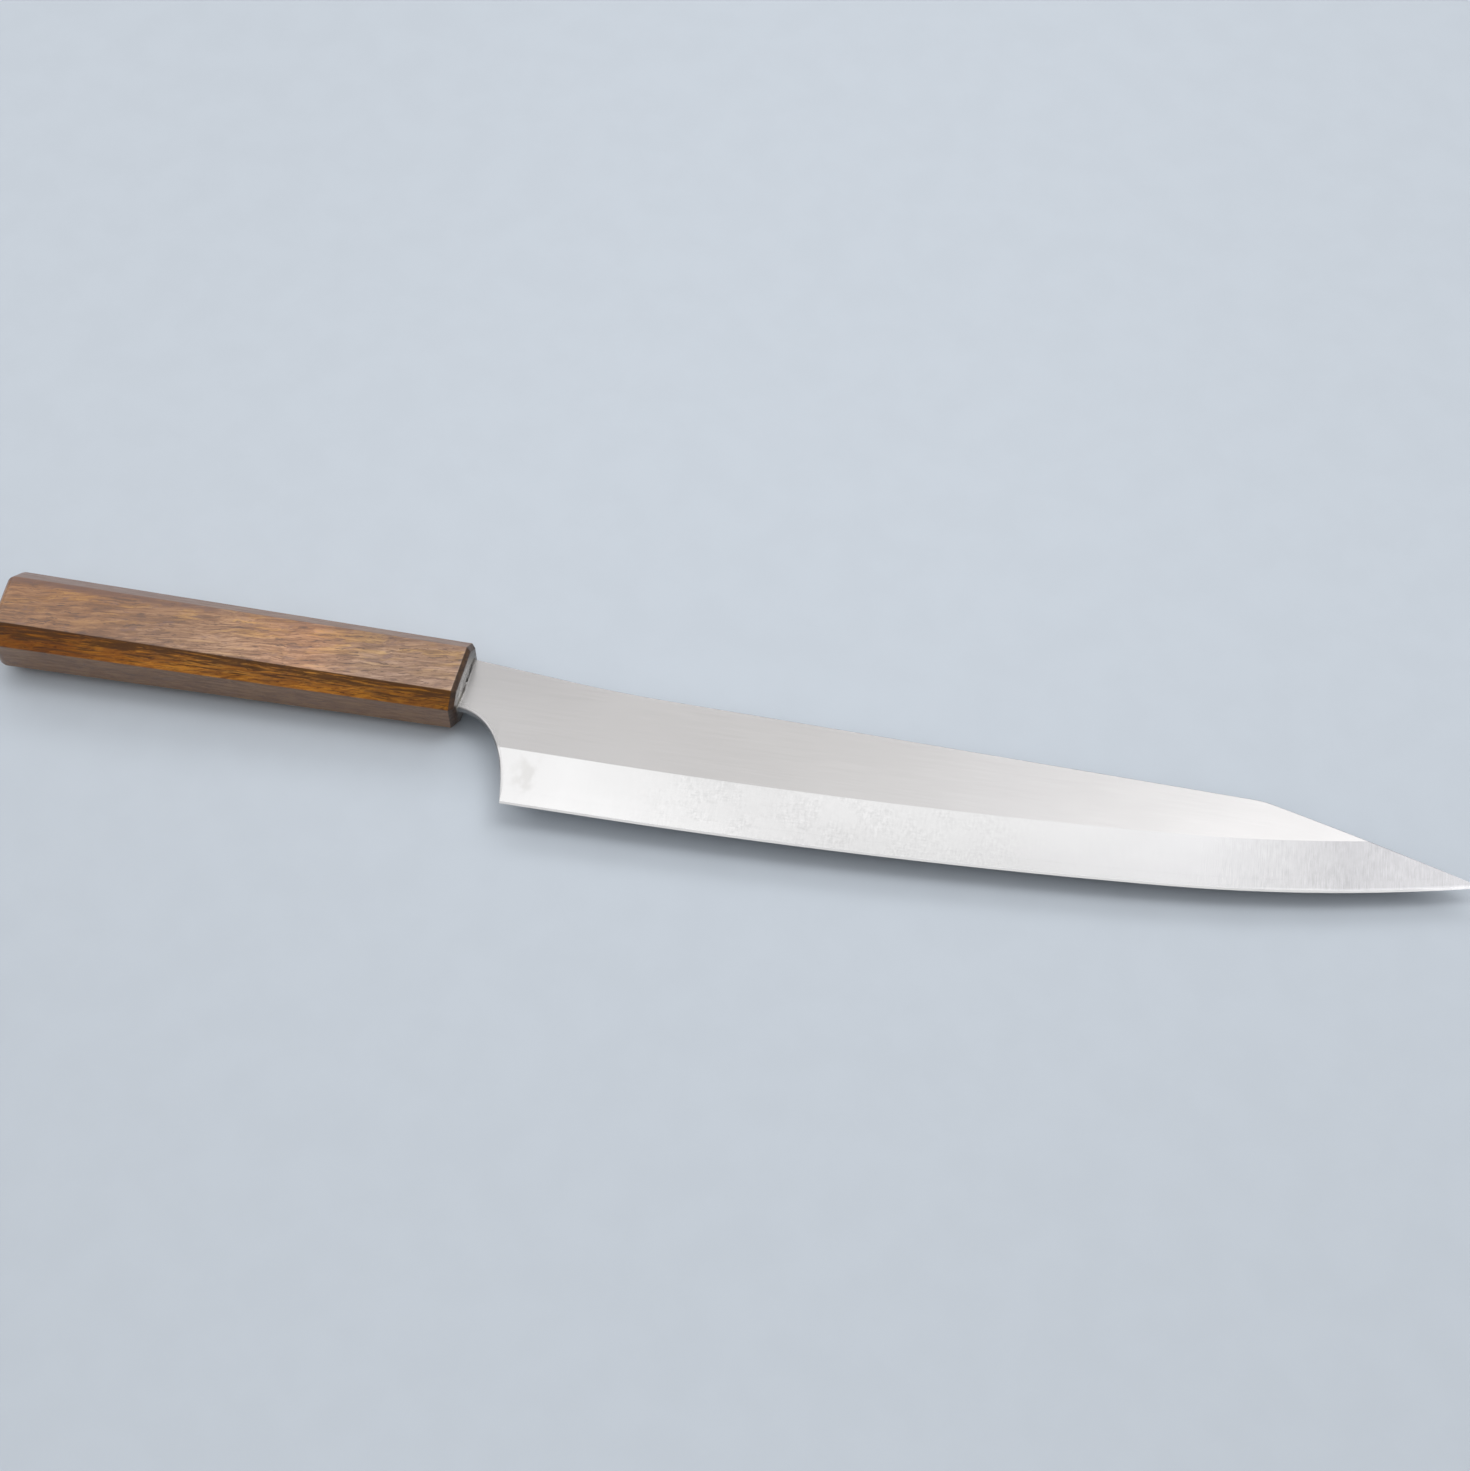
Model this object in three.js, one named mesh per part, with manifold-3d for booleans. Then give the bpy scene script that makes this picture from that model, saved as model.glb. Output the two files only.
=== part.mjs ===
// Sujihiki: a long slicing knife with a double-bevel three-layer blade, an angled tip and an eight-sided wooden handle.
// Millimetres. The knife lies on the flat of its handle on the plane z = 0, as it would on a table.
// In the knife's own straight frame +X runs from the handle to the tip along the handle's axis, +Y is the spine side,
// +Z is the right-hand side of the blade, and x = 0 is where the handle's front face meets its edge side.

import * as THREE from 'three';
import { mergeVertices } from 'three/addons/utils/BufferGeometryUtils.js';
import Module from 'manifold-3d';

const wasm = await Module();
wasm.setup();

// Handle
const handleLength = 135.4;
const handleFrontWidth = 23.3;
const handleFrontThickness = 17.9;
const handleFrontFacet = 4.2;
const handleButtWidth = 26.1;
const handleButtThickness = 20.8;
const handleButtFacet = 5.2;
const frontRimChamfer = 1.2;
const frontRakeDegrees = 4.5;
const buttRounding = 3.2;

// Blade outline: heel, edge, tip and spine
const heelForward = 18.5;
const heelDrop = 35.7;
const edgeReach = 271.1;
const edgeFlatLength = 25.5;
const edgeLongRadius = 2100;
const edgeLongLength = 158;
const edgeTipRadius = 516;
const spineAtHandle = 8.8;
const spineDipLength = 44;
const spineAtDip = 4.85;
const spineDipRounding = 14;
const tipCornerForward = 229;
const spineAtTipCorner = 1.2;
const spineCrown = 0.1;
const tipSlopeCrown = 0.35;
const tipCornerRounding = 3;
const neckBottom = 8.2;
const choilUpperPull = 12.7;
const choilUpperFall = 0.1;
const choilLowerPull = 12.9;
const choilLowerLean = 1.75;

// Blade section
const spineThicknessNeck = 2.3;
const spineThicknessTip = 0.9;
const bevelWidthHeel = 17.1;
const bevelWidthTip = 15.7;
const edgeShoulderThickness = 0.24;
const edgeShoulderHeight = 0.7;
const coreThicknessNeck = 0.7;
const coreThicknessTip = 0.36;

// Tang and what holds it in the handle
const neckInsert = 3;
const sealBack = 2;
const tangLength = 85;
const tangHeightFront = 8;
const tangHeightEnd = 5;
const tangThickness = 2;
const beddingWall = 0.6;
const dowelWall = 0.5;
const dowelEndWall = 2;

// Clearances
const layerGap = 0.02;
const fitGap = 0.3;

// Colours
const colours = {
  cladding: new THREE.Color(0xcfcfd0),
  core: new THREE.Color(0xe4e4e6),
  tang: new THREE.Color(0x9a9a9c),
  wood: new THREE.Color(0x8a6344),
  dowel: new THREE.Color(0xc9a77c),
  bedding: new THREE.Color(0xb9a06a),
  seal: new THREE.Color(0x2c2520),
};

// Modelling margins: how far cutting bodies reach past what they cut, and how finely curves are drawn
const overshoot = 10;
const curveSteps = 16;
const boreSides = 32;
const edgeStep = 8;

// Places that follow from the sizes above
const tipForward = heelForward + edgeReach;
const edgeFlatEnd = heelForward + edgeFlatLength;
const edgeLongEnd = edgeFlatEnd + edgeLongLength;
const tangFront = neckInsert + fitGap;
const tangEnd = tangFront + tangLength;
const sealEnd = neckInsert + fitGap + sealBack;
const dowelFront = sealEnd + fitGap;
const beddingEnd = tangEnd + fitGap + beddingWall;
const dowelEnd = beddingEnd + fitGap + dowelEndWall;
const boreDepth = dowelEnd + fitGap;
const beddingHeight = tangHeightFront + 2 * (fitGap + beddingWall);
const beddingThickness = tangThickness + 2 * (fitGap + beddingWall);
const dowelSlotHeight = beddingHeight + 2 * fitGap;
const dowelSlotThickness = beddingThickness + 2 * fitGap;
const dowelRadius = Math.hypot(dowelSlotHeight, dowelSlotThickness) / 2 + dowelWall;
const boreRadius = dowelRadius + fitGap;
const frontRake = Math.tan(THREE.MathUtils.degToRad(frontRakeDegrees));

// Turns a closed geometry into a solid that can be cut and joined.
function solidOf(geometry) {
  const bare = geometry.clone();
  bare.deleteAttribute('normal');
  bare.deleteAttribute('uv');
  const merged = mergeVertices(bare, 1e-5);
  return new wasm.Manifold(new wasm.Mesh({
    numProp: 3,
    vertProperties: new Float32Array(merged.attributes.position.array),
    triVerts: new Uint32Array(merged.index.array),
  }));
}

// Turns a solid back into a geometry.
function geometryOf(solid) {
  const mesh = solid.getMesh();
  const geometry = new THREE.BufferGeometry();
  geometry.setAttribute('position', new THREE.BufferAttribute(mesh.vertProperties.slice(), mesh.numProp));
  geometry.setIndex(new THREE.BufferAttribute(mesh.triVerts.slice(), 1));
  geometry.computeVertexNormals();
  return geometry;
}

// Closed skin through a row of like sections. Each section is a ring of points, anticlockwise seen from +X,
// and the rings follow each other towards +X.
function loft(sections) {
  const count = sections[0].length;
  const positions = sections.flat(2);
  const triangles = [];
  for (let ring = 0; ring + 1 < sections.length; ring += 1) {
    for (let corner = 0; corner < count; corner += 1) {
      const next = (corner + 1) % count;
      const a = ring * count + corner;
      const b = ring * count + next;
      triangles.push(a, b, b + count);
      triangles.push(a, b + count, a + count);
    }
  }
  const last = (sections.length - 1) * count;
  for (let corner = 1; corner + 1 < count; corner += 1) {
    triangles.push(0, corner + 1, corner);
    triangles.push(last, last + corner, last + corner + 1);
  }
  const geometry = new THREE.BufferGeometry();
  geometry.setAttribute('position', new THREE.Float32BufferAttribute(positions, 3));
  geometry.setIndex(triangles);
  return geometry;
}

// Box between two corners.
function box(low, high) {
  const size = high.map((value, axis) => value - low[axis]);
  const geometry = new THREE.BoxGeometry(...size);
  return geometry.translate(...low.map((value, axis) => value + size[axis] / 2));
}

// Round bar along X from x = from to x = to.
function bar(radius, from, to) {
  const geometry = new THREE.CylinderGeometry(radius, radius, to - from, boreSides);
  return geometry.rotateZ(-Math.PI / 2).translate((from + to) / 2, 0, 0);
}

// Share of the way from the handle's front face to the tip.
function alongBlade(x) {
  return THREE.MathUtils.clamp(x / tipForward, 0, 1);
}

// Height of the cutting edge: straight from the heel, then a long arc, then a tighter arc to the tip.
function edgeY(x) {
  const intoLong = THREE.MathUtils.clamp(x - edgeFlatEnd, 0, edgeLongLength);
  const longRise = edgeLongRadius - Math.sqrt(edgeLongRadius ** 2 - intoLong ** 2);
  const turn = Math.asin(edgeLongLength / edgeLongRadius);
  const intoTip = Math.max(x - edgeLongEnd, 0);
  const sideways = edgeTipRadius * Math.sin(turn) + intoTip;
  const tipRise = edgeTipRadius * Math.cos(turn) - Math.sqrt(edgeTipRadius ** 2 - sideways ** 2);
  return -heelDrop + longRise + tipRise;
}

// Height of the ridge line between the flat and the bevel.
function ridgeY(x) {
  const share = THREE.MathUtils.clamp((x - heelForward) / edgeReach, 0, 1);
  return edgeY(x) + THREE.MathUtils.lerp(bevelWidthHeel, bevelWidthTip, share);
}

// Places along X where the blade's section is drawn, close enough to follow the edge.
function bladeStations() {
  const stations = [-neckInsert, edgeFlatEnd];
  const reach = tipForward + edgeStep;
  const count = Math.ceil((reach - edgeFlatEnd) / edgeStep);
  for (let step = 1; step <= count; step += 1) {
    stations.push(edgeFlatEnd + (reach - edgeFlatEnd) * step / count);
  }
  return stations;
}

// The ground blade before its outline is cut: flat sides, wide bevels and a small steep bevel at the edge.
function groundBlank() {
  const top = spineAtHandle + overshoot;
  return solidOf(loft(bladeStations().map((x) => {
    const half = THREE.MathUtils.lerp(spineThicknessNeck, spineThicknessTip, alongBlade(x)) / 2;
    const shoulder = edgeShoulderThickness / 2;
    const edge = edgeY(x);
    return [
      [x, top, half],
      [x, ridgeY(x), half],
      [x, edge + edgeShoulderHeight, shoulder],
      [x, edge, 0],
      [x, edge + edgeShoulderHeight, -shoulder],
      [x, ridgeY(x), -half],
      [x, top, -half],
    ];
  })));
}

// Slab of the hard middle layer, made thicker by a gap on each side.
function coreSlab(gap) {
  const top = spineAtHandle + 2 * overshoot;
  const bottom = -heelDrop - 2 * overshoot;
  return solidOf(loft([-neckInsert - overshoot, 0, tipForward, tipForward + overshoot].map((x) => {
    const half = THREE.MathUtils.lerp(coreThicknessNeck, coreThicknessTip, alongBlade(x)) / 2 + gap;
    return [
      [x, top, half],
      [x, bottom, half],
      [x, bottom, -half],
      [x, top, -half],
    ];
  })));
}

// Outline of the blade seen from its side, open below the edge so that the ground edge itself stays.
function outlineSolid() {
  const below = -heelDrop - overshoot;
  const tipY = edgeY(tipForward);
  const slopeStep = new THREE.Vector2(tipForward - tipCornerForward, tipY - spineAtTipCorner).normalize();
  const corner = new THREE.Vector2(tipCornerForward, spineAtTipCorner);
  const dip = new THREE.Vector2(spineDipLength, spineAtDip);
  const neckStep = dip.clone().sub(new THREE.Vector2(0, spineAtHandle)).normalize();
  const spineStep = corner.clone().sub(dip).normalize();
  const dipStart = dip.clone().addScaledVector(neckStep, -spineDipRounding);
  const dipEnd = dip.clone().addScaledVector(spineStep, spineDipRounding);
  const cornerStart = corner.clone().addScaledVector(spineStep, -tipCornerRounding);
  const cornerEnd = corner.clone().addScaledVector(slopeStep, tipCornerRounding);
  const past = new THREE.Vector2(tipForward, tipY).addScaledVector(slopeStep, overshoot);
  const shape = new THREE.Shape();
  shape.moveTo(-neckInsert, spineAtHandle);
  shape.lineTo(0, spineAtHandle);
  shape.lineTo(dipStart.x, dipStart.y);
  shape.quadraticCurveTo(dip.x, dip.y, dipEnd.x, dipEnd.y);
  shape.quadraticCurveTo(
    (dipEnd.x + cornerStart.x) / 2,
    (dipEnd.y + cornerStart.y) / 2 + 2 * spineCrown,
    cornerStart.x,
    cornerStart.y,
  );
  shape.quadraticCurveTo(corner.x, corner.y, cornerEnd.x, cornerEnd.y);
  shape.quadraticCurveTo(
    (cornerEnd.x + tipForward) / 2,
    (cornerEnd.y + tipY) / 2 + 2 * tipSlopeCrown,
    tipForward,
    tipY,
  );
  shape.lineTo(past.x, past.y);
  shape.lineTo(past.x, below);
  shape.lineTo(heelForward + choilLowerLean * overshoot / choilLowerPull, below);
  shape.lineTo(heelForward, -heelDrop);
  shape.bezierCurveTo(
    heelForward - choilLowerLean,
    -heelDrop + choilLowerPull,
    choilUpperPull,
    -neckBottom - choilUpperFall,
    0,
    -neckBottom,
  );
  shape.lineTo(-neckInsert, -neckBottom);
  const depth = 2 * overshoot;
  const geometry = new THREE.ExtrudeGeometry(shape, { depth, bevelEnabled: false, curveSegments: curveSteps });
  return solidOf(geometry.translate(0, 0, -overshoot));
}

// Eight-sided section of the handle at x, drawn in from its full size by an inset.
function handleSection(x, inset) {
  const share = -x / handleLength;
  const halfWidth = THREE.MathUtils.lerp(handleFrontWidth, handleButtWidth, share) / 2 - inset;
  const halfThickness = THREE.MathUtils.lerp(handleFrontThickness, handleButtThickness, share) / 2 - inset;
  const fullFacet = THREE.MathUtils.lerp(handleFrontFacet, handleButtFacet, share);
  const facet = fullFacet - inset * (2 - Math.SQRT2);
  return [
    [x, halfWidth - facet, halfThickness],
    [x, facet - halfWidth, halfThickness],
    [x, -halfWidth, halfThickness - facet],
    [x, -halfWidth, facet - halfThickness],
    [x, facet - halfWidth, -halfThickness],
    [x, halfWidth - facet, -halfThickness],
    [x, halfWidth, facet - halfThickness],
    [x, halfWidth, halfThickness - facet],
  ];
}

// How far the handle's front face stands forward at a height: it is cut a little askew, further forward at the spine.
function frontAt(y) {
  return frontRake * (y + handleFrontWidth / 2);
}

// Section near the front, slanted like the front face.
function rakedSection(x, inset) {
  return handleSection(x, inset).map(([along, y, z]) => [along + frontAt(y), y, z]);
}

// Everything in front of the handle's front face, and a little behind it by a gap.
function inFrontOfHandle(gap) {
  const side = handleFrontWidth + overshoot;
  const corners = [[side, side], [-side, side], [-side, -side], [side, -side]];
  return loft([
    corners.map(([y, z]) => [frontAt(y) - gap, y, z]),
    corners.map(([y, z]) => [frontAt(side) + overshoot, y, z]),
  ]);
}

// Slot that the blade's neck slides into.
function neckSlot() {
  const halfThickness = spineThicknessNeck / 2 + fitGap;
  return box(
    [-neckInsert - fitGap, -neckBottom - fitGap, -halfThickness],
    [overshoot, spineAtHandle + fitGap, halfThickness],
  );
}

// Handle: tapered octagon with a rounded butt and a chamfered, slightly askew front, bored for the dowel and slotted
// for the neck.
function handleBody() {
  const roundSteps = 4;
  const sections = [];
  for (let step = 0; step <= roundSteps; step += 1) {
    const angle = (1 - step / roundSteps) * Math.PI / 2;
    const x = -handleLength + buttRounding * (1 - Math.sin(angle));
    sections.push(handleSection(x, buttRounding * (1 - Math.cos(angle))));
  }
  sections.push(rakedSection(-frontRimChamfer, 0));
  sections.push(rakedSection(0, frontRimChamfer));
  return solidOf(loft(sections))
    .subtract(solidOf(bar(boreRadius, -boreDepth, overshoot)))
    .subtract(solidOf(neckSlot()));
}

// Filler in the mouth of the bore, on both sides of the neck and behind it, with a hole for the tang.
function neckSeal() {
  const tangHole = box(
    [-sealEnd - overshoot, -tangHeightFront / 2 - fitGap, -tangThickness / 2 - fitGap],
    [overshoot, tangHeightFront / 2 + fitGap, tangThickness / 2 + fitGap],
  );
  return solidOf(bar(boreRadius - fitGap, -sealEnd, overshoot))
    .subtract(solidOf(inFrontOfHandle(fitGap)))
    .subtract(solidOf(neckSlot()))
    .subtract(solidOf(tangHole));
}

// Tang: a flat tail that narrows towards its end.
function tang() {
  return loft([[-tangEnd, tangHeightEnd], [-tangFront, tangHeightFront]].map(([x, height]) => [
    [x, height / 2, tangThickness / 2],
    [x, -height / 2, tangThickness / 2],
    [x, -height / 2, -tangThickness / 2],
    [x, height / 2, -tangThickness / 2],
  ]));
}

// Bedding: a resin sleeve that fills the dowel's slot around the tang, open towards the neck.
function tangBedding() {
  const outer = box(
    [-beddingEnd, -beddingHeight / 2, -beddingThickness / 2],
    [-dowelFront, beddingHeight / 2, beddingThickness / 2],
  );
  const pocketHalfHeight = tangHeightFront / 2 + fitGap;
  const pocketHalfThickness = tangThickness / 2 + fitGap;
  const pocket = box(
    [-tangEnd - fitGap, -pocketHalfHeight, -pocketHalfThickness],
    [overshoot, pocketHalfHeight, pocketHalfThickness],
  );
  return solidOf(outer).subtract(solidOf(pocket));
}

// Dowel: a round bar with a slot for the bedding, open towards the neck.
function tangDowel() {
  const slot = box(
    [-beddingEnd - fitGap, -dowelSlotHeight / 2, -dowelSlotThickness / 2],
    [overshoot, dowelSlotHeight / 2, dowelSlotThickness / 2],
  );
  return solidOf(bar(dowelRadius, -dowelEnd, -dowelFront)).subtract(solidOf(slot));
}

// One named piece with its own finish.
function piece(name, geometry, color, roughness, metalness) {
  const mesh = new THREE.Mesh(geometry, new THREE.MeshStandardMaterial({ color, roughness, metalness }));
  mesh.name = name;
  return mesh;
}

const blade = groundBlank().intersect(outlineSolid());
const sides = blade.subtract(coreSlab(layerGap));
const reach = tipForward + 2 * overshoot;
const rightHalf = solidOf(box([-reach, -reach, 0], [reach, reach, reach]));
const leftHalf = solidOf(box([-reach, -reach, -reach], [reach, reach, 0]));

const knife = new THREE.Group();
knife.add(
  piece('core_steel', geometryOf(blade.intersect(coreSlab(0))), colours.core, 0.25, 1),
  piece('cladding_right', geometryOf(sides.intersect(rightHalf)), colours.cladding, 0.35, 1),
  piece('cladding_left', geometryOf(sides.intersect(leftHalf)), colours.cladding, 0.35, 1),
  piece('tang', tang(), colours.tang, 0.5, 1),
  piece('handle_body', geometryOf(handleBody()), colours.wood, 0.45, 0),
  piece('neck_seal', geometryOf(neckSeal()), colours.seal, 0.6, 0),
  piece('tang_dowel', geometryOf(tangDowel()), colours.dowel, 0.7, 0),
  piece('tang_bedding', geometryOf(tangBedding()), colours.bedding, 0.4, 0),
);

// The handle is thicker at the butt, so lying on its flat it tips the blade down a little.
// The origin is the middle of the handle's resting face.
const noseDown = Math.atan((handleButtThickness - handleFrontThickness) / (2 * handleLength));
const meanThickness = (handleFrontThickness + handleButtThickness) / 2;
knife.rotation.y = noseDown;
knife.position.x = handleLength / 2 * Math.cos(noseDown) + meanThickness / 2 * Math.sin(noseDown);
knife.position.z = handleFrontThickness / 2 * Math.cos(noseDown);

const sujihiki = new THREE.Group();
sujihiki.add(knife);

export default sujihiki;
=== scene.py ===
# %% [markdown]
# # A slicing knife with an eight-sided wooden handle
# The knife comes from the CAD step as plain solids in metres: a blade of three layers, a handle, the
# filler at its mouth, and the hidden tang with its dowel and resin. This lesson keeps those solids as
# the fixed frame and dresses what shows. Blade, handle and filler are worked out again as fine surfaces
# on the same sizes, so that edges catch the light, and every surface gets a finish made of nodes.

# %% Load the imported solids
import math

import bpy
import numpy as np
from mathutils import Matrix, Vector


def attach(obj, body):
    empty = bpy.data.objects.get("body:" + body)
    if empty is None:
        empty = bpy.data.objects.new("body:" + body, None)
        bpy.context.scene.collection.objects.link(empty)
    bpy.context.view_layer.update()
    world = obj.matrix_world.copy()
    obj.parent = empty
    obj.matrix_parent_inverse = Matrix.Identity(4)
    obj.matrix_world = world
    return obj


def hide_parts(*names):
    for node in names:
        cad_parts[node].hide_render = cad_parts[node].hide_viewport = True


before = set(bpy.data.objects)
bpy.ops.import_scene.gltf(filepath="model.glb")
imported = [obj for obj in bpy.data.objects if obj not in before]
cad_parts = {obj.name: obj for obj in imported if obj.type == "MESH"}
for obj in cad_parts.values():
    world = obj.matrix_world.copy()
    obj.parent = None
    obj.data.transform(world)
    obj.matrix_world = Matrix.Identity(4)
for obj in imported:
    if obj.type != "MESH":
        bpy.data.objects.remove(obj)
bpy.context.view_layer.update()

print("solids:", ", ".join(sorted(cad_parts)))

# %% [markdown]
# ## Two frames
# The maker thinks in the knife's own straight frame, in millimetres: x = 0 is where the handle's front
# face meets its edge side, +X runs to the tip, +Y is the spine side and +Z the right-hand side. On the
# table the handle lies on its lower facet. It is thicker at the butt, so the knife tips its nose down by
# a small angle. One function carries points from the knife's frame to the shared frame, and every piece
# goes through it, so all places below can be read off a ruler.

# %% From the knife's frame to the table
MM = 0.001
handle_length = 135.4
handle_front_thickness = 17.9
handle_butt_thickness = 20.8
nose_down = math.atan((handle_butt_thickness - handle_front_thickness) / (2 * handle_length))
mean_thickness = (handle_front_thickness + handle_butt_thickness) / 2
handle_front_x = handle_length / 2 * math.cos(nose_down) + mean_thickness / 2 * math.sin(nose_down)
handle_axis_z = handle_front_thickness / 2 * math.cos(nose_down)


def to_table(points):
    """Turn by the nose-down angle about Y, shift the front face to its place, millimetres to metres."""
    x, y, z = np.moveaxis(np.asarray(points, float), -1, 0)
    cosine = math.cos(nose_down)
    sine = math.sin(nose_down)
    forward = x * cosine + z * sine + handle_front_x
    upward = z * cosine - x * sine + handle_axis_z
    return np.stack([forward, y, upward], axis=-1) * MM


print("nose down by", round(math.degrees(nose_down), 3), "degrees")

# %% [markdown]
# ## Skins
# All pieces here are skins over rows of rings: an array of shape (rings, points, 3). Neighbouring rings
# are joined with four-sided faces. Where rows run together, as at a tip or where a bevel meets an
# outline, points coincide: they are merged, and faces that lost a corner become triangles or vanish.
# Sharp edges are found by angle, so roundings stay smooth and corners stay crisp. The print tells if a
# skin is closed and which way it faces.

# %% Skin helper
SHARP_ANGLE = math.radians(32)
MERGE_STEP = 1e-5


def tidy_faces(quads):
    """Faces of merged points: full quads stay, quads with one repeated corner become triangles, others go."""
    repeated = quads == np.roll(quads, -1, axis=1)
    losses = repeated.sum(axis=1)
    whole = quads[(losses == 0) & (quads[:, 0] != quads[:, 2]) & (quads[:, 1] != quads[:, 3])]
    thinned = losses == 1
    triangles = quads[thinned][~repeated[thinned]].reshape(-1, 3)
    return whole.tolist() + triangles.tolist()


def skin(name, rings, around_again=False, lids=True, marks=None):
    """Mesh object over rings of points in the knife's frame. Rings turn anticlockwise seen from the tip
    and follow each other towards the tip. The last ring meets the first if around_again, otherwise lids
    close both ends. marks are named numbers for each point, kept as attributes for the finishes."""
    rows, columns = rings.shape[:2]
    steps = np.round(rings.reshape(-1, 3) / MERGE_STEP).astype(np.int64)
    _, first, merged = np.unique(steps, axis=0, return_index=True, return_inverse=True)
    merged = merged.reshape(rows, columns)
    here = merged if around_again else merged[:-1]
    ahead = np.roll(merged, -1, axis=0) if around_again else merged[1:]
    quads = np.stack([here, np.roll(here, -1, 1), np.roll(ahead, -1, 1), ahead], axis=-1)
    faces = tidy_faces(quads.reshape(-1, 4))
    if lids:
        ends = [merged[0, ::-1], merged[-1]]
        ends = [end[end != np.roll(end, 1)] for end in ends]
        faces += [end.tolist() for end in ends if len(set(end.tolist())) > 2]
    mesh = bpy.data.meshes.new(name)
    mesh.from_pydata(to_table(rings.reshape(-1, 3)[first]).tolist(), [], faces)
    mesh.shade_smooth()
    mesh.set_sharp_from_angle(angle=SHARP_ANGLE)
    for mark, values in (marks or {}).items():
        layer = mesh.attributes.new(mark, "FLOAT", "POINT")
        layer.data.foreach_set("value", np.asarray(values, np.float32).reshape(-1)[first])
    piece = bpy.data.objects.new(name, mesh)
    bpy.context.scene.collection.objects.link(piece)
    report_skin(piece)
    return piece


def report_skin(piece):
    """Prints the triangles, whether two faces meet at each edge, and the volume as signed tetrahedra."""
    mesh = piece.data
    edges = np.zeros(len(mesh.loops), np.int32)
    mesh.loops.foreach_get("edge_index", edges)
    closed = bool((np.bincount(edges) == 2).all())
    mesh.calc_loop_triangles()
    corners = np.zeros(len(mesh.loop_triangles) * 3, np.int32)
    mesh.loop_triangles.foreach_get("vertices", corners)
    places = np.zeros(len(mesh.vertices) * 3, np.float32)
    mesh.vertices.foreach_get("co", places)
    a, b, c = np.moveaxis(places.reshape(-1, 3).astype(float)[corners.reshape(-1, 3)], 1, 0)
    volume = (a * np.cross(b, c)).sum() / 6 / MM**3
    print(f"{piece.name}: {len(corners) // 3} triangles, closed {closed}, {volume:.0f} cubic mm")


print("edges that bend by more than", round(math.degrees(SHARP_ANGLE)), "degrees stay crisp")

# %% [markdown]
# ## Blade outline
# Seen from its side the blade is bounded above by the neck, a shallow dip, a long nearly straight spine
# and the slope of the angled tip, and below by the choil behind the heel and the cutting edge. The curved
# parts are Bezier curves with the CAD model's control points, drawn finer. Both bounds have one height
# for each x, so a whole outline is two functions of x.

# %% Outline sizes and curves
tip_forward = 289.6
heel_forward = 18.5
heel_drop = 35.7
edge_flat_end = 44.0
edge_long_length = 158.0
edge_long_radius = 2100.0
edge_tip_radius = 516.0
neck_insert = 3.0
spine_at_handle = 8.8
neck_bottom = 8.2
spine_dip = np.array([44.0, 4.85])
spine_dip_rounding = 14.0
spine_crown = 0.1
tip_corner = np.array([229.0, 1.2])
tip_corner_rounding = 3.0
tip_slope_crown = 0.35
choil_pulls = [[12.7, -8.3], [16.75, -22.8]]
CROWN_POINTS = 9
DIP_POINTS = 17
CORNER_POINTS = 13
CHOIL_POINTS = 65


def edge_y(x):
    """Height of the cutting edge: straight from the heel, then a long arc, then a tighter arc to the tip."""
    into_long = np.clip(x - edge_flat_end, 0, edge_long_length)
    long_rise = edge_long_radius - np.sqrt(edge_long_radius**2 - into_long**2)
    turn = math.asin(edge_long_length / edge_long_radius)
    sideways = edge_tip_radius * math.sin(turn) + np.maximum(x - edge_flat_end - edge_long_length, 0)
    tip_rise = edge_tip_radius * math.cos(turn) - np.sqrt(edge_tip_radius**2 - sideways**2)
    return -heel_drop + long_rise + tip_rise


def bezier(pulls, count):
    """Bezier curve: neighbours of the control polygon are blended again and again until one point is left."""
    share = np.linspace(0, 1, count)[:, None, None]
    row = np.asarray(pulls, float)[None]
    while row.shape[1] > 1:
        row = row[:, :-1] * (1 - share) + row[:, 1:] * share
    return row[:, 0]


def toward(start, goal, length):
    """Point at a length from start on the way to goal."""
    way = goal - start
    return start + way * (length / np.linalg.norm(way))


def crowned(start, goal, crown):
    """Shallow arc between two points, its middle lifted by the crown: its control point is twice as high."""
    return bezier([start, (start + goal) / 2 + [0, 2 * crown], goal], CROWN_POINTS)


tip = np.array([tip_forward, float(edge_y(tip_forward))])
neck_top = np.array([0, spine_at_handle])
dip_start = toward(spine_dip, neck_top, spine_dip_rounding)
dip_end = toward(spine_dip, tip_corner, spine_dip_rounding)
corner_start = toward(tip_corner, spine_dip, tip_corner_rounding)
corner_end = toward(tip_corner, tip, tip_corner_rounding)
spine_line = np.concatenate([
    [[-neck_insert, spine_at_handle], neck_top],
    bezier([dip_start, spine_dip, dip_end], DIP_POINTS),
    crowned(dip_end, corner_start, spine_crown)[1:],
    bezier([corner_start, tip_corner, corner_end], CORNER_POINTS)[1:],
    crowned(corner_end, tip, tip_slope_crown)[1:],
])
choil_line = np.concatenate([
    [[-neck_insert, -neck_bottom]],
    bezier([[0, -neck_bottom], *choil_pulls, [heel_forward, -heel_drop]], CHOIL_POINTS),
])


def spine_y(x):
    """Height of the upper bound, read off the spine line."""
    return np.interp(x, *spine_line.T)


def under_y(x):
    """Height of the lower bound: the choil line up to the heel, the cutting edge after it."""
    return np.where(x < heel_forward, np.interp(x, *choil_line.T), edge_y(x))


print("tip height over the handle's axis:", round(tip[1], 2), "mm")

# %% [markdown]
# ## Blade section
# The right half of a section is the lowest of three planes over the mid-plane: the flat, the wide bevel
# that starts at the ridge line, and the small steep bevel at the edge. Thickness tapers from neck to tip.
# The hard middle layer is a thin slab, and the softer outer layers end where the bevel has been ground
# down to it.

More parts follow.
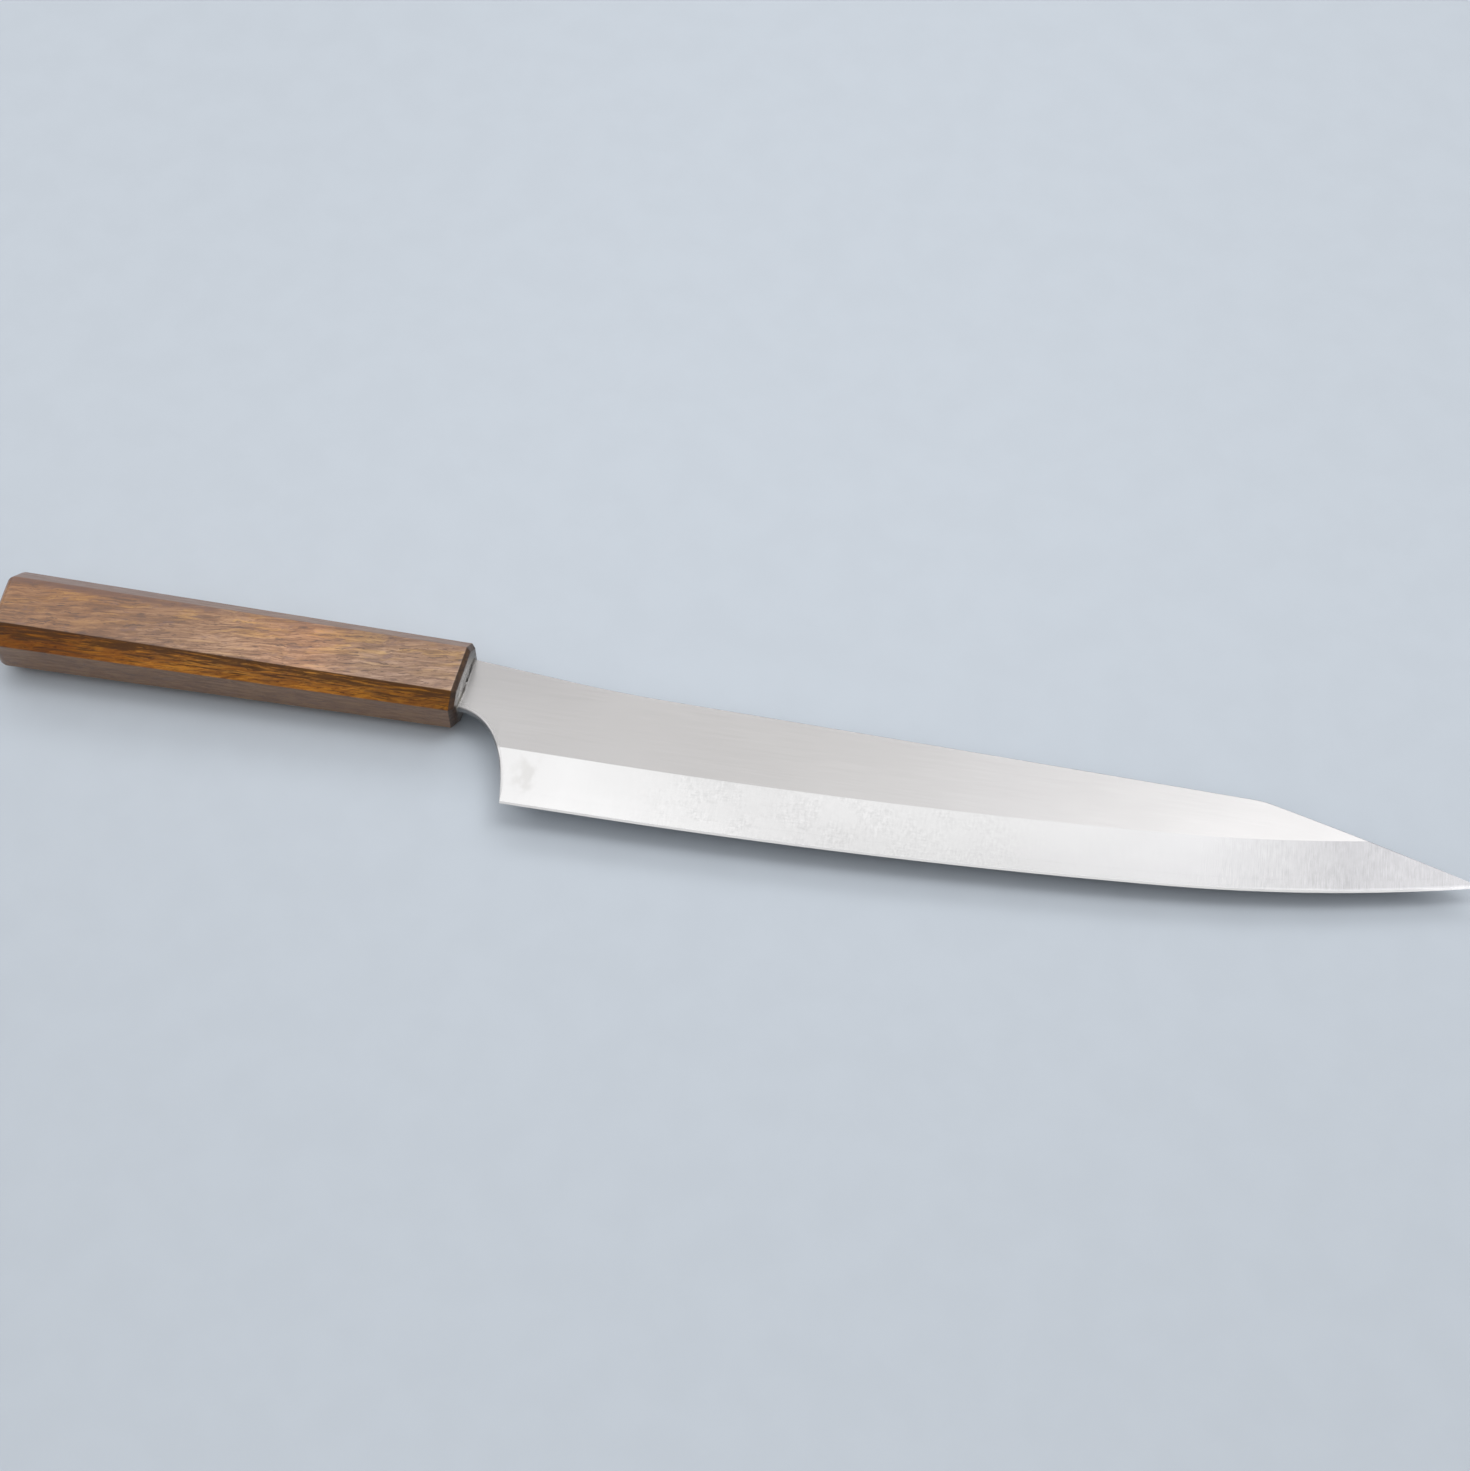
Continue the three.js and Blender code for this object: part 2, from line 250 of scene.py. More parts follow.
# %% Section sizes and heights
spine_thickness_neck = 2.3
spine_thickness_tip = 0.9
bevel_width_heel = 17.1
bevel_width_tip = 15.7
shoulder_half = 0.12
shoulder_height = 0.7
core_thickness_neck = 0.7
core_thickness_tip = 0.36
layer_gap = 0.0008
FINE_STEPS = 5001
STATION_STEP = 1.25
TIP_REACH = 10
TIP_STATIONS = 33


def taper(x, at_neck, at_tip):
    """Straight change from neck to tip."""
    return at_neck + (at_tip - at_neck) * np.clip(x / tip_forward, 0, 1)


def ridge_y(x):
    """Height of the ridge line: the edge plus a bevel width that shrinks from heel to tip."""
    share = np.clip((x - heel_forward) / (tip_forward - heel_forward), 0, 1)
    return edge_y(x) + bevel_width_heel + (bevel_width_tip - bevel_width_heel) * share


def flat_half(x):
    """Half the blade's thickness at its flats."""
    return taper(x, spine_thickness_neck, spine_thickness_tip) / 2


def core_half(x):
    """Half the thickness of the middle layer."""
    return taper(x, core_thickness_neck, core_thickness_tip) / 2


def bevel_slope(x):
    """How much half thickness the wide bevel gains for each millimetre of height."""
    return (flat_half(x) - shoulder_half) / (ridge_y(x) - edge_y(x) - shoulder_height)


def half_thickness(x, y):
    """Lowest of the three planes: flat, wide bevel through its shoulder, edge bevel through the edge."""
    over_edge = y - edge_y(x)
    wide_bevel = shoulder_half + (over_edge - shoulder_height) * bevel_slope(x)
    edge_bevel = over_edge * shoulder_half / shoulder_height
    return np.maximum(np.minimum(np.minimum(flat_half(x), wide_bevel), edge_bevel), 0)


def core_line_y(x):
    """Height where the wide bevel has thinned to the middle layer."""
    return edge_y(x) + shoulder_height + (core_half(x) + layer_gap - shoulder_half) / bevel_slope(x)


def crossings(x, gap):
    """Places where a gap changes sign, by straight interpolation between neighbours."""
    turn = np.flatnonzero(np.signbit(gap[:-1]) != np.signbit(gap[1:]))
    share = gap[turn] / (gap[turn] - gap[turn + 1])
    return x[turn] + share * (x[turn + 1] - x[turn])


fine_x = np.linspace(0, tip_forward, FINE_STEPS)
meetings = np.concatenate([
    crossings(fine_x, bound(fine_x) - line(fine_x))
    for bound in (spine_y, under_y)
    for line in (ridge_y, core_line_y)
])
stations = np.unique(np.round(np.concatenate([
    spine_line[:, 0],
    choil_line[:, 0],
    np.arange(heel_forward, tip_forward, STATION_STEP),
    np.linspace(tip_forward - TIP_REACH, tip_forward, TIP_STATIONS),
    meetings,
]), 4))
print(len(stations), "stations, lines meet the outline at", np.round(meetings, 1))

# %% [markdown]
# ## Blade layers
# Each layer is a skin over its sections. An outer layer's ring runs along the hidden inner face, up the
# spine wall, round the eased spine corner, down the flat, over the ridge and down the bevel, and round
# the eased choil corner. Extra rows close to each rounding and to the ridge hold the shading flat
# right up to it. Rows that fall outside the outline are clipped to it and merge. A boolean cut would give
# the same shape, but with long thin triangles and no control over these rows.

# %% Outer layers and core
SPINE_EASING = 0.28
CHOIL_EASING_FACE = 0.75
CHOIL_EASING_WALL = 0.45
HOLD = 0.05
MOST_DEPTH = 0.8
MOST_HEIGHT = 0.25
CHOIL_MARK = 1.2
corner_turn = np.linspace(0, np.pi / 2, 7)


def rows_between(top, bottom, shares):
    """Rows at given shares of the way from top to bottom."""
    return top[:, None] + (bottom - top)[:, None] * np.asarray(shares)


def outer_layer_rings(side):
    """Rings of an outer layer. side is 1 for the right-hand layer and -1 for the left-hand one. Each easing
    is a quarter ellipse that takes only a share of the layer's depth and height where these run out."""
    end = crossings(fine_x, spine_y(fine_x) - core_line_y(fine_x))[-1]
    x = stations[stations <= end + 2 * MERGE_STEP]
    column = x[:, None]
    top = spine_y(x)
    bottom = np.minimum(np.maximum(under_y(x), core_line_y(x)), top)
    inner = core_half(x) + layer_gap
    slant = np.sqrt(1 + np.gradient(top, x) ** 2)
    lean = np.sqrt(1 + np.gradient(under_y(x), x) ** 2)
    spare_top = np.maximum(half_thickness(x, top) - inner, 0) * MOST_DEPTH
    spare_bottom = np.maximum(half_thickness(x, bottom) - inner, 0) * MOST_DEPTH
    most_height = (top - bottom) * MOST_HEIGHT
    ease = np.minimum(SPINE_EASING, np.minimum(spare_top, most_height))
    wall = np.minimum(CHOIL_EASING_WALL, spare_bottom)
    face = np.minimum(wall * (CHOIL_EASING_FACE / CHOIL_EASING_WALL) * lean, most_height)
    upper = top - ease * slant
    lower = bottom + face
    ridge = ridge_y(x)
    rows = np.concatenate([
        (upper - HOLD)[:, None],
        rows_between(upper, ridge, (0.3, 0.6, 0.9)),
        (ridge + HOLD)[:, None],
        ridge[:, None],
        (ridge - HOLD)[:, None],
        rows_between(ridge, lower, (0.1, 0.3, 0.5, 0.7, 0.9)),
        (lower + HOLD)[:, None],
    ], axis=1)
    rows = np.minimum.accumulate(np.clip(rows, lower[:, None], upper[:, None]), axis=1)
    spine_turn = upper[:, None] + (ease * slant)[:, None] * np.cos(corner_turn)
    choil_turn = lower[:, None] - face[:, None] * np.cos(corner_turn[::-1])
    y = np.concatenate([bottom[:, None], top[:, None], spine_turn, rows, choil_turn], axis=1)
    z = half_thickness(column, y)
    z[:, :2] = inner[:, None]
    last = 2 + len(corner_turn)
    z[:, 2:last] -= ease[:, None] * (1 - np.sin(corner_turn))
    z[:, -len(corner_turn):] -= wall[:, None] * (1 - np.sin(corner_turn[::-1]))
    z = np.maximum(z, inner[:, None])
    rings = np.stack([np.broadcast_to(column, y.shape), y, z * side], axis=-1)
    return rings if side > 0 else rings[:, ::-1]


def core_rings():
    """Rings of the middle layer: as thick as its slab or as the ground blade, whichever is less."""
    x = stations
    top = spine_y(x)
    bottom = np.minimum(under_y(x), top)
    line = core_line_y(x) - layer_gap / bevel_slope(x)
    shoulder = edge_y(x) + shoulder_height
    rows = np.concatenate([
        top[:, None],
        rows_between(top, line, (0.5,)),
        (line + HOLD)[:, None],
        line[:, None],
        (line - HOLD)[:, None],
        rows_between(line, shoulder, (0.35, 0.7)),
        (shoulder + HOLD)[:, None],
        shoulder[:, None],
        (shoulder - HOLD)[:, None],
        bottom[:, None],
    ], axis=1)
    y = np.minimum.accumulate(np.clip(rows, bottom[:, None], top[:, None]), axis=1)
    z = np.minimum(half_thickness(x[:, None], y), core_half(x)[:, None])
    y = np.concatenate([y[:, ::-1], y], axis=1)
    z = np.concatenate([-z[:, ::-1], z], axis=1)
    return np.stack([np.broadcast_to(x[:, None], y.shape), y, z], axis=-1)


def ground_marks(rings):
    """For the finishes: 1 below the ridge line and 0 above it, millimetres above the edge, share of the
    bevel's width, and a rise to 1 over the eased corner of the choil."""
    x, y = rings[..., 0], rings[..., 1]
    below = np.clip((ridge_y(x) + HOLD - y) / (2 * HOLD), 0, 1)
    over_edge = y - edge_y(x)
    bevel_width = np.maximum(ridge_y(x) - edge_y(x), HOLD)
    up_bevel = np.clip(over_edge / bevel_width, 0, 1)
    lean = np.sqrt(1 + np.gradient(under_y(x[:, 0]), x[:, 0]) ** 2)[:, None]
    choil = np.clip(CHOIL_MARK - (y - under_y(x)) / (CHOIL_EASING_FACE * lean), 0, 1) * (x < heel_forward)
    return {"bevel": below, "over_edge": over_edge, "up_bevel": up_bevel, "choil": choil}


right_rings = outer_layer_rings(1)
left_rings = outer_layer_rings(-1)
middle_rings = core_rings()
blade_right = skin("blade_right_layer", right_rings, marks=ground_marks(right_rings))
blade_left = skin("blade_left_layer", left_rings, marks=ground_marks(left_rings))
blade_core = skin("blade_core", middle_rings, marks=ground_marks(middle_rings))

# %% [markdown]
# ## Handle section
# The handle is one piece of wood, planed to a tapering octagon with slightly broken corners. Its ring is
# eight corners, each a small arc between its two sides, and the points on the sides. A bevel modifier
# could round the corners too, but the arcs here follow the taper.

# %% Handle section sizes and ring
handle_front_width = 23.3
handle_front_facet = 4.2
handle_butt_width = 26.1
handle_butt_facet = 5.2
corner_easing = 0.22
EASED_SIDE_SHARE = 0.3
side_shares = np.array([0.1, 0.2203, 0.264, 0.302, 0.4, 0.5, 0.6, 0.698, 0.736, 0.7797, 0.9])
corner_shares = np.linspace(0, 1, 6)


def handle_corners(x, inset):
    """Corners of the octagon at each x, drawn in by an inset, from the far end of the resting side on.
    Width, thickness and facet change straight from front to butt."""
    share = -x / handle_length
    width = handle_front_width + (handle_butt_width - handle_front_width) * share
    thickness = handle_front_thickness + (handle_butt_thickness - handle_front_thickness) * share
    facet = handle_front_facet + (handle_butt_facet - handle_front_facet) * share
    half_width = width / 2 - inset
    half_depth = thickness / 2 - inset
    facet = facet - inset * (2 - math.sqrt(2))
    across = np.stack([half_width - facet, half_width, half_width, half_width - facet], axis=-1)
    upward = np.stack([-half_depth, facet - half_depth, half_depth - facet, half_depth], axis=-1)
    half_ring = np.stack([across, upward], axis=-1)
    return np.concatenate([half_ring, -half_ring], axis=1)


def handle_ring(x, inset):
    """Ring at each x: at every corner a parabola arc between its sides, then points along the next side."""
    x = np.asarray(x, float)
    inset = np.broadcast_to(np.asarray(inset, float), x.shape)
    corner = handle_corners(x, inset)
    side = np.roll(corner, -1, axis=1) - corner
    length = np.linalg.norm(side, axis=-1, keepdims=True)
    way = side / length
    cut = np.minimum(corner_easing, EASED_SIDE_SHARE * length.min())
    before = (corner - np.roll(way, 1, axis=1) * cut)[:, :, None]
    after = (corner + way * cut)[:, :, None]
    t = corner_shares[:, None]
    arc = before * (1 - t) ** 2 + 2 * corner[:, :, None] * t * (1 - t) + after * t**2
    along = np.concatenate([
        np.broadcast_to(cut + 2 * HOLD, length.shape),
        length * side_shares,
        length - cut - 2 * HOLD,
    ], axis=2)
    straight = corner[:, :, None] + way[:, :, None] * along[..., None]
    ring = np.concatenate([arc, straight], axis=2).reshape(len(x), -1, 2)
    return np.concatenate([np.broadcast_to(x[:, None, None], ring.shape[:2] + (1,)), ring], axis=2)


print("handle corners eased by", corner_easing, "mm")

# %% [markdown]
# ## Handle mouth
# In the handle's front opens the mouth: the bored hole for the dowel together with the slot for the neck.
# Seen from the axis, its wall is the farther one of the two, so the outline is one function of the
# direction. A boolean cut would give it too, but with no control over the rows around it. The front face
# is cut a little askew, as on the real handle.

# %% Mouth sizes and outline
front_rake = math.tan(math.radians(4.5))
bore_radius = 6.53
bore_depth = 92.0
fit_gap = 0.3
slot_depth = neck_insert + fit_gap
TINY = 1e-6


def front_x(y):
    """How far the front face stands forward: it is cut a little askew, further forward on the spine side."""
    return front_rake * (y + handle_front_width / 2)


def box_reach(angle, high, low, half_depth):
    """Distance from the axis to a box's wall in a direction: the nearer of its end wall and its side wall."""
    across = np.cos(angle)
    end = np.where(across > 0, high, low) / np.maximum(np.abs(across), TINY)
    return np.minimum(end, half_depth / np.maximum(np.abs(np.sin(angle)), TINY))


def mouth_reach(angle, play):
    """Distance to the mouth's wall: the farther of the bored hole and the neck's slot, less some play."""
    slot = box_reach(
        angle,
        spine_at_handle + fit_gap - play,
        neck_bottom + fit_gap - play,
        spine_thickness_neck / 2 + fit_gap - play,
    )
    return np.maximum(bore_radius - play, slot)


def flat_ring(x, reach, angle):
    """Ring at one x from a distance in each direction."""
    x, reach = np.broadcast_arrays(np.asarray(x, float), reach)
    return np.stack([x, reach * np.cos(angle), reach * np.sin(angle)], axis=-1)


print("mouth: bore", 2 * bore_radius, "mm wide, slot", slot_depth, "mm deep")

# %% [markdown]
# ## Handle rings
# The rings run from the middle of the butt over its rounding and along the body to the chamfered rim,
# then across the front face and into the mouth, down to the end of the bore. So the whole handle, inside
# and out, is one closed skin.

# %% Handle rings from butt to bore
front_rim_chamfer = 1.2
butt_rounding = 3.2
BUTT_SHARES = np.array([0, 0.35, 0.7, 0.97])
FACE_SHARES = (0.04, 0.5, 0.97, 1)
BODY_ROWS = 42
BODY_END = 1.2
turn = np.linspace(np.pi / 2, 0, 9)
butt_x = -handle_length + butt_rounding * (1 - np.sin(turn))
butt_inset = butt_rounding * (1 - np.cos(turn))
rim_x = front_rim_chamfer * np.array([-1.12, -0.94, -0.5, -0.06, 0.0])
rim_inset = front_rim_chamfer * np.array([0.0, 0.06, 0.5, 0.94, 1.12])
body_x = np.linspace(-handle_length + butt_rounding, -front_rim_chamfer * BODY_END, BODY_ROWS)[1:]
outside = handle_ring(
    np.concatenate([butt_x, body_x, rim_x]),
    np.concatenate([butt_inset, np.zeros(len(body_x)), rim_inset]),
)
outside[-len(rim_x):, :, 0] += front_x(outside[-len(rim_x):, :, 1])
butt_face = outside[:1] * [1, 0, 0] + outside[:1] * [0, 1, 1] * BUTT_SHARES[:, None, None]
front_angle = np.arctan2(outside[-1, :, 2], outside[-1, :, 1])
mouth = mouth_reach(front_angle, 0)
front_reach = np.hypot(outside[-1, :, 1], outside[-1, :, 2])
front_face = np.stack([
    flat_ring(0, front_reach + (mouth - front_reach) * share, front_angle) for share in FACE_SHARES
])
front_face[..., 0] += front_x(front_face[..., 1])
bore = np.full_like(mouth, bore_radius)
inside = np.stack([
    flat_ring(-slot_depth, mouth, front_angle),
    flat_ring(-slot_depth, bore, front_angle),
    flat_ring(-bore_depth, bore, front_angle),
    flat_ring(-bore_depth, bore * 0, front_angle),
])
handle_rings = np.concatenate([butt_face, outside, front_face, inside])
print(len(handle_rings), "rings of", handle_rings.shape[1], "points")

# %% [markdown]
# ## Marks on the wood
# The wood doesn't look the same on all sides: end grain at both ends, a grey seal on the front face that
# is partly painted reflection, a glossy top with a painted sheen, a near chamfer with dark stains along
# its upper corner, and plainer sides darkened as painted shade. The finish reads these from marks, one
# number for each point of the skin. A material for each face would do it too, but marks can fade.

# %% Handle marks and skin
TOP_SIDE = 3
CHAMFER_SIDE = 4
RESTING_SIDES = (7, 0, 1)
RESTING_PLAIN = 0.35
RIM_ROWS = 4
BUTT_FADE = np.array([1, 1, 1, 1, 1, 0.85, 0.6, 0.3, 0.1])
SEAL_ROWS = np.array([0.3, 1, 1, 1, 1, 0, 0, 0])
half_corner = len(corner_shares) // 2
side_points = len(corner_shares) + len(side_shares) + 2
side_number, step_in_side = np.divmod(np.arange(handle_rings.shape[1]), side_points)


def on_side(number):
    """True for the points of a side, from the middle of its first corner to the middle of the next one."""
    starts = (side_number == number) & (step_in_side >= half_corner)
    return starts | (side_number == number + 1) & (step_in_side < half_corner)


def every_ring(values):
    """The same numbers for each ring of the handle."""
    return np.broadcast_to(values, handle_rings.shape[:2]).astype(float)


end_grain = every_ring(0)
end_grain[:len(BUTT_FADE)] = BUTT_FADE[:, None]
end_grain[-len(SEAL_ROWS) - RIM_ROWS:] = 1
seal_and_reflection = every_ring(0)
seal_and_reflection[-len(SEAL_ROWS):] = SEAL_ROWS[:, None]
on_top = on_side(TOP_SIDE)
on_chamfer = on_side(CHAMFER_SIDE)
down_chamfer = np.concatenate([np.zeros(len(corner_shares)), [0.02], side_shares, [0.98]])
stain = np.where(on_chamfer & (side_number == CHAMFER_SIDE), 1 - down_chamfer[step_in_side], 0)
resting = np.isin(side_number, RESTING_SIDES)
wood_marks = {
    "end_grain": end_grain,
    "seal_and_reflection": seal_and_reflection,
    "top": every_ring(on_top),
    "chamfer": every_ring(on_chamfer),
    "stain": every_ring(stain),
    # sides that get painted shade and a thinner coat
    "plain_shaded_side": every_ring(np.where(resting, RESTING_PLAIN, ~on_top & ~on_chamfer)),
}
handle = skin("handle_body_wood", handle_rings, lids=False, marks=wood_marks)

# %% [markdown]
# ## Mouth filler
# The neck goes into the mouth of the bored handle, and the space around it is filled with dark resin
# putty, smoothed with a finger so that it climbs the neck a little. The filler is a closed ring: across
# its front from the neck to the wood, back along the wood, and forward again along the tang and the neck.
# A few sine waves keep the bead hand-made.

# %% Filler rings
filler_play = 0.015
bead_height = 0.34
filler_back = 5.3
tang_half_height = 4.3
tang_half_thickness = 1.3
neck_half = spine_thickness_neck / 2
BEAD_SINK = 0.03
BEAD_WAVES = ((0.35, 3, 0.6), (0.25, 7, 1.9))
AROUND = 145


def corner_angles(high, low, half_depth):
    """Directions of a box's four corners."""
    across = np.array([high, -low, -low, high])
    return np.arctan2(half_depth * np.array([1, 1, -1, -1]), across)


filler_angle = np.unique(np.round(np.concatenate([
    np.linspace(-np.pi, np.pi, AROUND)[:-1],
    corner_angles(spine_at_handle, neck_bottom, neck_half),
    corner_angles(spine_at_handle + fit_gap, neck_bottom + fit_gap, neck_half + fit_gap),
]), 5))
neck_reach = box_reach(
    filler_angle, spine_at_handle + filler_play, neck_bottom + filler_play, neck_half + filler_play
)
tang_reach = box_reach(filler_angle, tang_half_height, tang_half_height, tang_half_thickness)
filler_wall = mouth_reach(filler_angle, filler_play)
lumps = 1 + sum(height * np.sin(count * filler_angle + shift) for height, count, shift in BEAD_WAVES)
front_shares = np.array([0, 0.06, 0.14, 0.25, 0.4, 0.6, 0.8, 0.95, 1.0])
bead = (bead_height * (1 - front_shares) ** 3)[:, None] * lumps - BEAD_SINK
front_rows = neck_reach + (filler_wall - neck_reach) * front_shares[:, None]
filler_bore = np.full_like(filler_wall, bore_radius - filler_play)
back_rows = [
    (-slot_depth + filler_play, filler_wall),
    (-slot_depth + filler_play, filler_bore),
    (-filler_back, filler_bore),
    (-filler_back, tang_reach),
    (-neck_insert - filler_play, tang_reach),
    (-neck_insert - filler_play, neck_reach),
]
filler_front = flat_ring(bead, front_rows, filler_angle)
filler_front[..., 0] += front_x(filler_front[..., 1])
filler_rings = np.concatenate([
    filler_front,
    np.stack([flat_ring(x, reach, filler_angle) for x, reach in back_rows]),
])[::-1]
filler = skin("mouth_filler", filler_rings, around_again=True, lids=False)

# %% [markdown]
# ## Wiring finishes
# A finish is a small network of nodes. These helpers each add a node or two and hand back the socket with
# the result, so a finish reads like a recipe. Patterns are placed by Object coordinates in millimetres,
# which stay with the knife. Nodes could be placed by hand in the editor too, but a recipe can be read,
# repeated and changed.

# %% Node helpers for numbers and places
NOISE = (0.3, 0.7)


def wire(tree, kind, inputs, **settings):
    """Adds a node, sets its properties, and for each input either links a socket or sets a plain value."""
    node = tree.nodes.new(kind)
    for name, value in settings.items():
        setattr(node, name, value)
    for key, value in inputs.items():
        if isinstance(value, bpy.types.NodeSocket):
            tree.links.new(value, node.inputs[key])
        else:
            node.inputs[key].default_value = value
    return node


def number(tree, operation, *values):
    """One sum on numbers."""
    return wire(tree, "ShaderNodeMath", dict(enumerate(values)), operation=operation).outputs[0]


def times(tree, result, *others):
    """Product of numbers."""
    for value in others:
        result = number(tree, "MULTIPLY", result, value)
    return result


def plus(tree, result, *others):
    """Sum of numbers."""
    for value in others:
        result = number(tree, "ADD", result, value)
    return result


def vector(tree, operation, *values):
    """One sum on coordinates."""
    return wire(tree, "ShaderNodeVectorMath", dict(enumerate(values)), operation=operation).outputs[0]


def split(tree, place):
    """The three numbers of coordinates."""
    return wire(tree, "ShaderNodeSeparateXYZ", {0: place}).outputs


def ruler(tree):
    """Object coordinates in millimetres."""
    place = tree.nodes.new("ShaderNodeTexCoord").outputs["Object"]
    return wire(tree, "ShaderNodeVectorMath", {0: place, "Scale": 1 / MM}, operation="SCALE").outputs[0]


def mark(tree, name):
    """Number kept on the mesh under a name."""
    return wire(tree, "ShaderNodeAttribute", {}, attribute_name=name).outputs["Fac"]


def stretched(tree, place, lengths):
    """Coordinates divided by a length for each axis, so that a pattern's grains get these sizes."""
    return vector(tree, "DIVIDE", place, lengths)


def grain(tree, place, lengths, detail=3.0, roughness=0.5):
    """Cloudy noise with grains of the given lengths in millimetres. Most of its values lie inside NOISE."""
    inputs = {
        "Vector": stretched(tree, place, lengths),
        "Scale": 1.0,
        "Detail": detail,
        "Roughness": roughness,
    }
    return wire(tree, "ShaderNodeTexNoise", inputs).outputs[0]


def rise(tree, value, start, end, low=0.0, high=1.0):
    """Smooth change from low to high while value goes from start to end."""
    inputs = {0: value, 1: start, 2: end, 3: low, 4: high}
    return wire(tree, "ShaderNodeMapRange", inputs, interpolation_type="SMOOTHSTEP").outputs[0]


print("a noise stays mostly between", *NOISE)

# %% [markdown]
# ## Colours and materials
# The same for colours: mixed by a share, multiplied by a tone, or read off a scale. A material starts
# with fixed values on its shader, and the recipe's results are fed to the sockets that vary.

# %% Node helpers for colours and materials
def mixed(tree, share, first, second, how="MIX"):
    """Two colours mixed by a share."""
    inputs = {0: share, 6: first, 7: second}
    return wire(tree, "ShaderNodeMix", inputs, data_type="RGBA", blend_type=how).outputs[2]


def dyed(tree, colour, tone):
    """Colour multiplied by a tone, which is a number or a colour."""
    return mixed(tree, 1.0, colour, tone, how="MULTIPLY")


def tinted(tree, share, colour, tint):
    """Colour multiplied by a tint, as far as the share says."""
    return mixed(tree, share, colour, dyed(tree, colour, tint))


def shades(tree, value, stops):
    """Colour read off a scale of (position, colour) stops."""
    node = wire(tree, "ShaderNodeValToRGB", {0: value})
    elements = node.color_ramp.elements
    for spare in range(len(stops) - 2):
        elements.new(0.5)
    for element, (position, colour) in zip(elements, stops):
        element.position = position
        element.color = (*colour, 1)
    return node.outputs[0]


def relief(tree, height, depth):
    """Bump from a height between 0 and 1 and a depth in millimetres."""
    inputs = {"Height": height, "Distance": depth * MM, "Strength": 1.0}
    return wire(tree, "ShaderNodeBump", inputs).outputs[0]


def finish(name, **fixed):
    """New material with one surface shader, its fixed sockets set. Returns material, tree and shader."""
    material = bpy.data.materials.new(name)
    material.use_nodes = True
    tree = material.node_tree
    shader = tree.nodes["Principled BSDF"]
    for socket, value in fixed.items():
        shader.inputs[socket.replace("_", " ")].default_value = value
    return material, tree, shader


def feed(tree, shader, **sockets):
    """Links results to the shader's sockets."""
    for socket, value in sockets.items():
        tree.links.new(value, shader.inputs[socket.replace("_", " ")])


print("helpers for colours: mixed, dyed, tinted and shades; for materials: relief, finish and feed")

# %% [markdown]
# ## Steel colours
# The steel isn't one grey. The satin flat is a warm grey and the bevel a brighter polish, which is their own
# colour; both also carry painted reflection: the flat is made darkest a third of the way along, and the
# bevel nearly white at the heel and greyer towards the tip. Two scales hold these tones along the blade.
# Vertex colours could hold them too, but a scale is smooth at any size of mesh.

# %% Steel tones along the blade
TONES_FROM = 90.0
TONES_LENGTH = 260.0
# Both scales are painted reflection: the steel's colour changes along the blade as its mirrored light does.
FLAT_PAINTED_REFLECTION = (
    (0.09, (0.527, 0.516, 0.511)),
    (0.20, (0.513, 0.502, 0.496)),
    (0.30, (0.504, 0.494, 0.488)),
    (0.52, (0.516, 0.507, 0.506)),
    (0.62, (0.530, 0.520, 0.519)),
    (0.72, (0.542, 0.533, 0.532)),
    (0.79, (0.540, 0.531, 0.530)),
    (0.85, (0.513, 0.505, 0.504)),
)
BEVEL_PAINTED_REFLECTION = (
    (0.05, (0.705, 0.702, 0.701)),
    (0.20, (0.580, 0.577, 0.576)),
    (0.30, (0.500, 0.497, 0.497)),
    (0.41, (0.460, 0.458, 0.458)),
    (0.52, (0.420, 0.418, 0.419)),
    (0.73, (0.385, 0.383, 0.388)),
    (0.83, (0.332, 0.330, 0.336)),
    (0.89, (0.293, 0.292, 0.300)),
    (0.95, (0.312, 0.310, 0.319)),
)
EDGE_GROUND = (0.54, 0.54, 0.54, 1)
EDGE_POLISH = (0.58, 0.58, 0.585, 1)
SMUDGE = (0.45, 0.435, 0.41, 1)
# painted shade for the eased corner of the choil
CHOIL_PAINTED_SHADE = (0.16, 0.165, 0.17, 1)
print("steel tones:", len(FLAT_PAINTED_REFLECTION), "on the flat,", len(BEVEL_PAINTED_REFLECTION), "on the bevel")

# %% [markdown]
# ## Bevel
# The wide bevel is ground on a stone across the blade, so its scratches run from ridge to edge. They are
# hardly seen near the heel and dense towards the tip. Half way along are freckles and nicks, and near the
# heel a faint smudge. The bevel is lighter towards the ridge and darker towards the edge, a painted
# reflection, and near the tip a painted highlight runs as a bright band beside the edge. Each of these is a
# small tone, and their sum multiplies the bevel's colour.

# %% Bevel tones
STROKES_SET_IN = (264, 312)
LEAST_WORN = 0.08
STROKE_TONE = 0.12
CLUMPS = (0.38, 0.6, 0.45, 1.0)
FINE_SHARE = 0.65
FRECKLES_SET_IN = (115, 145)
FRECKLES_END = (250, 195)
FRECKLE_PATCHES = (0.38, 0.62, 0.25, 1.0)
FRECKLE_TONES = (-0.08, 0.05)
NICK_TONES = (-0.045, 0.03)
# painted reflection: the bevel lightens towards the ridge
RIDGE_LIGHT_TONE = 0.17
RIDGE_LIGHT_MIDDLE = 0.3
RIDGE_LIGHT_SETS_IN = (0.2, 0.36)
RIDGE_LIGHT_FADES = (0.92, 0.70, 0.4, 1.0)
# painted highlight: a bright band beside the edge near the tip
EDGE_BAND_HEIGHT = (1.5, 0.9)
EDGE_BAND_SET_IN = (285, 312)
EDGE_BAND_HIGHLIGHT = 0.16
SMUDGE_MIDDLE = (92, -26, 8)
SMUDGE_SIZE = (5.2, 8.0, 40)
SMUDGE_RAGGED = (-0.2, 0.4)
SMUDGE_SHARE = 0.3


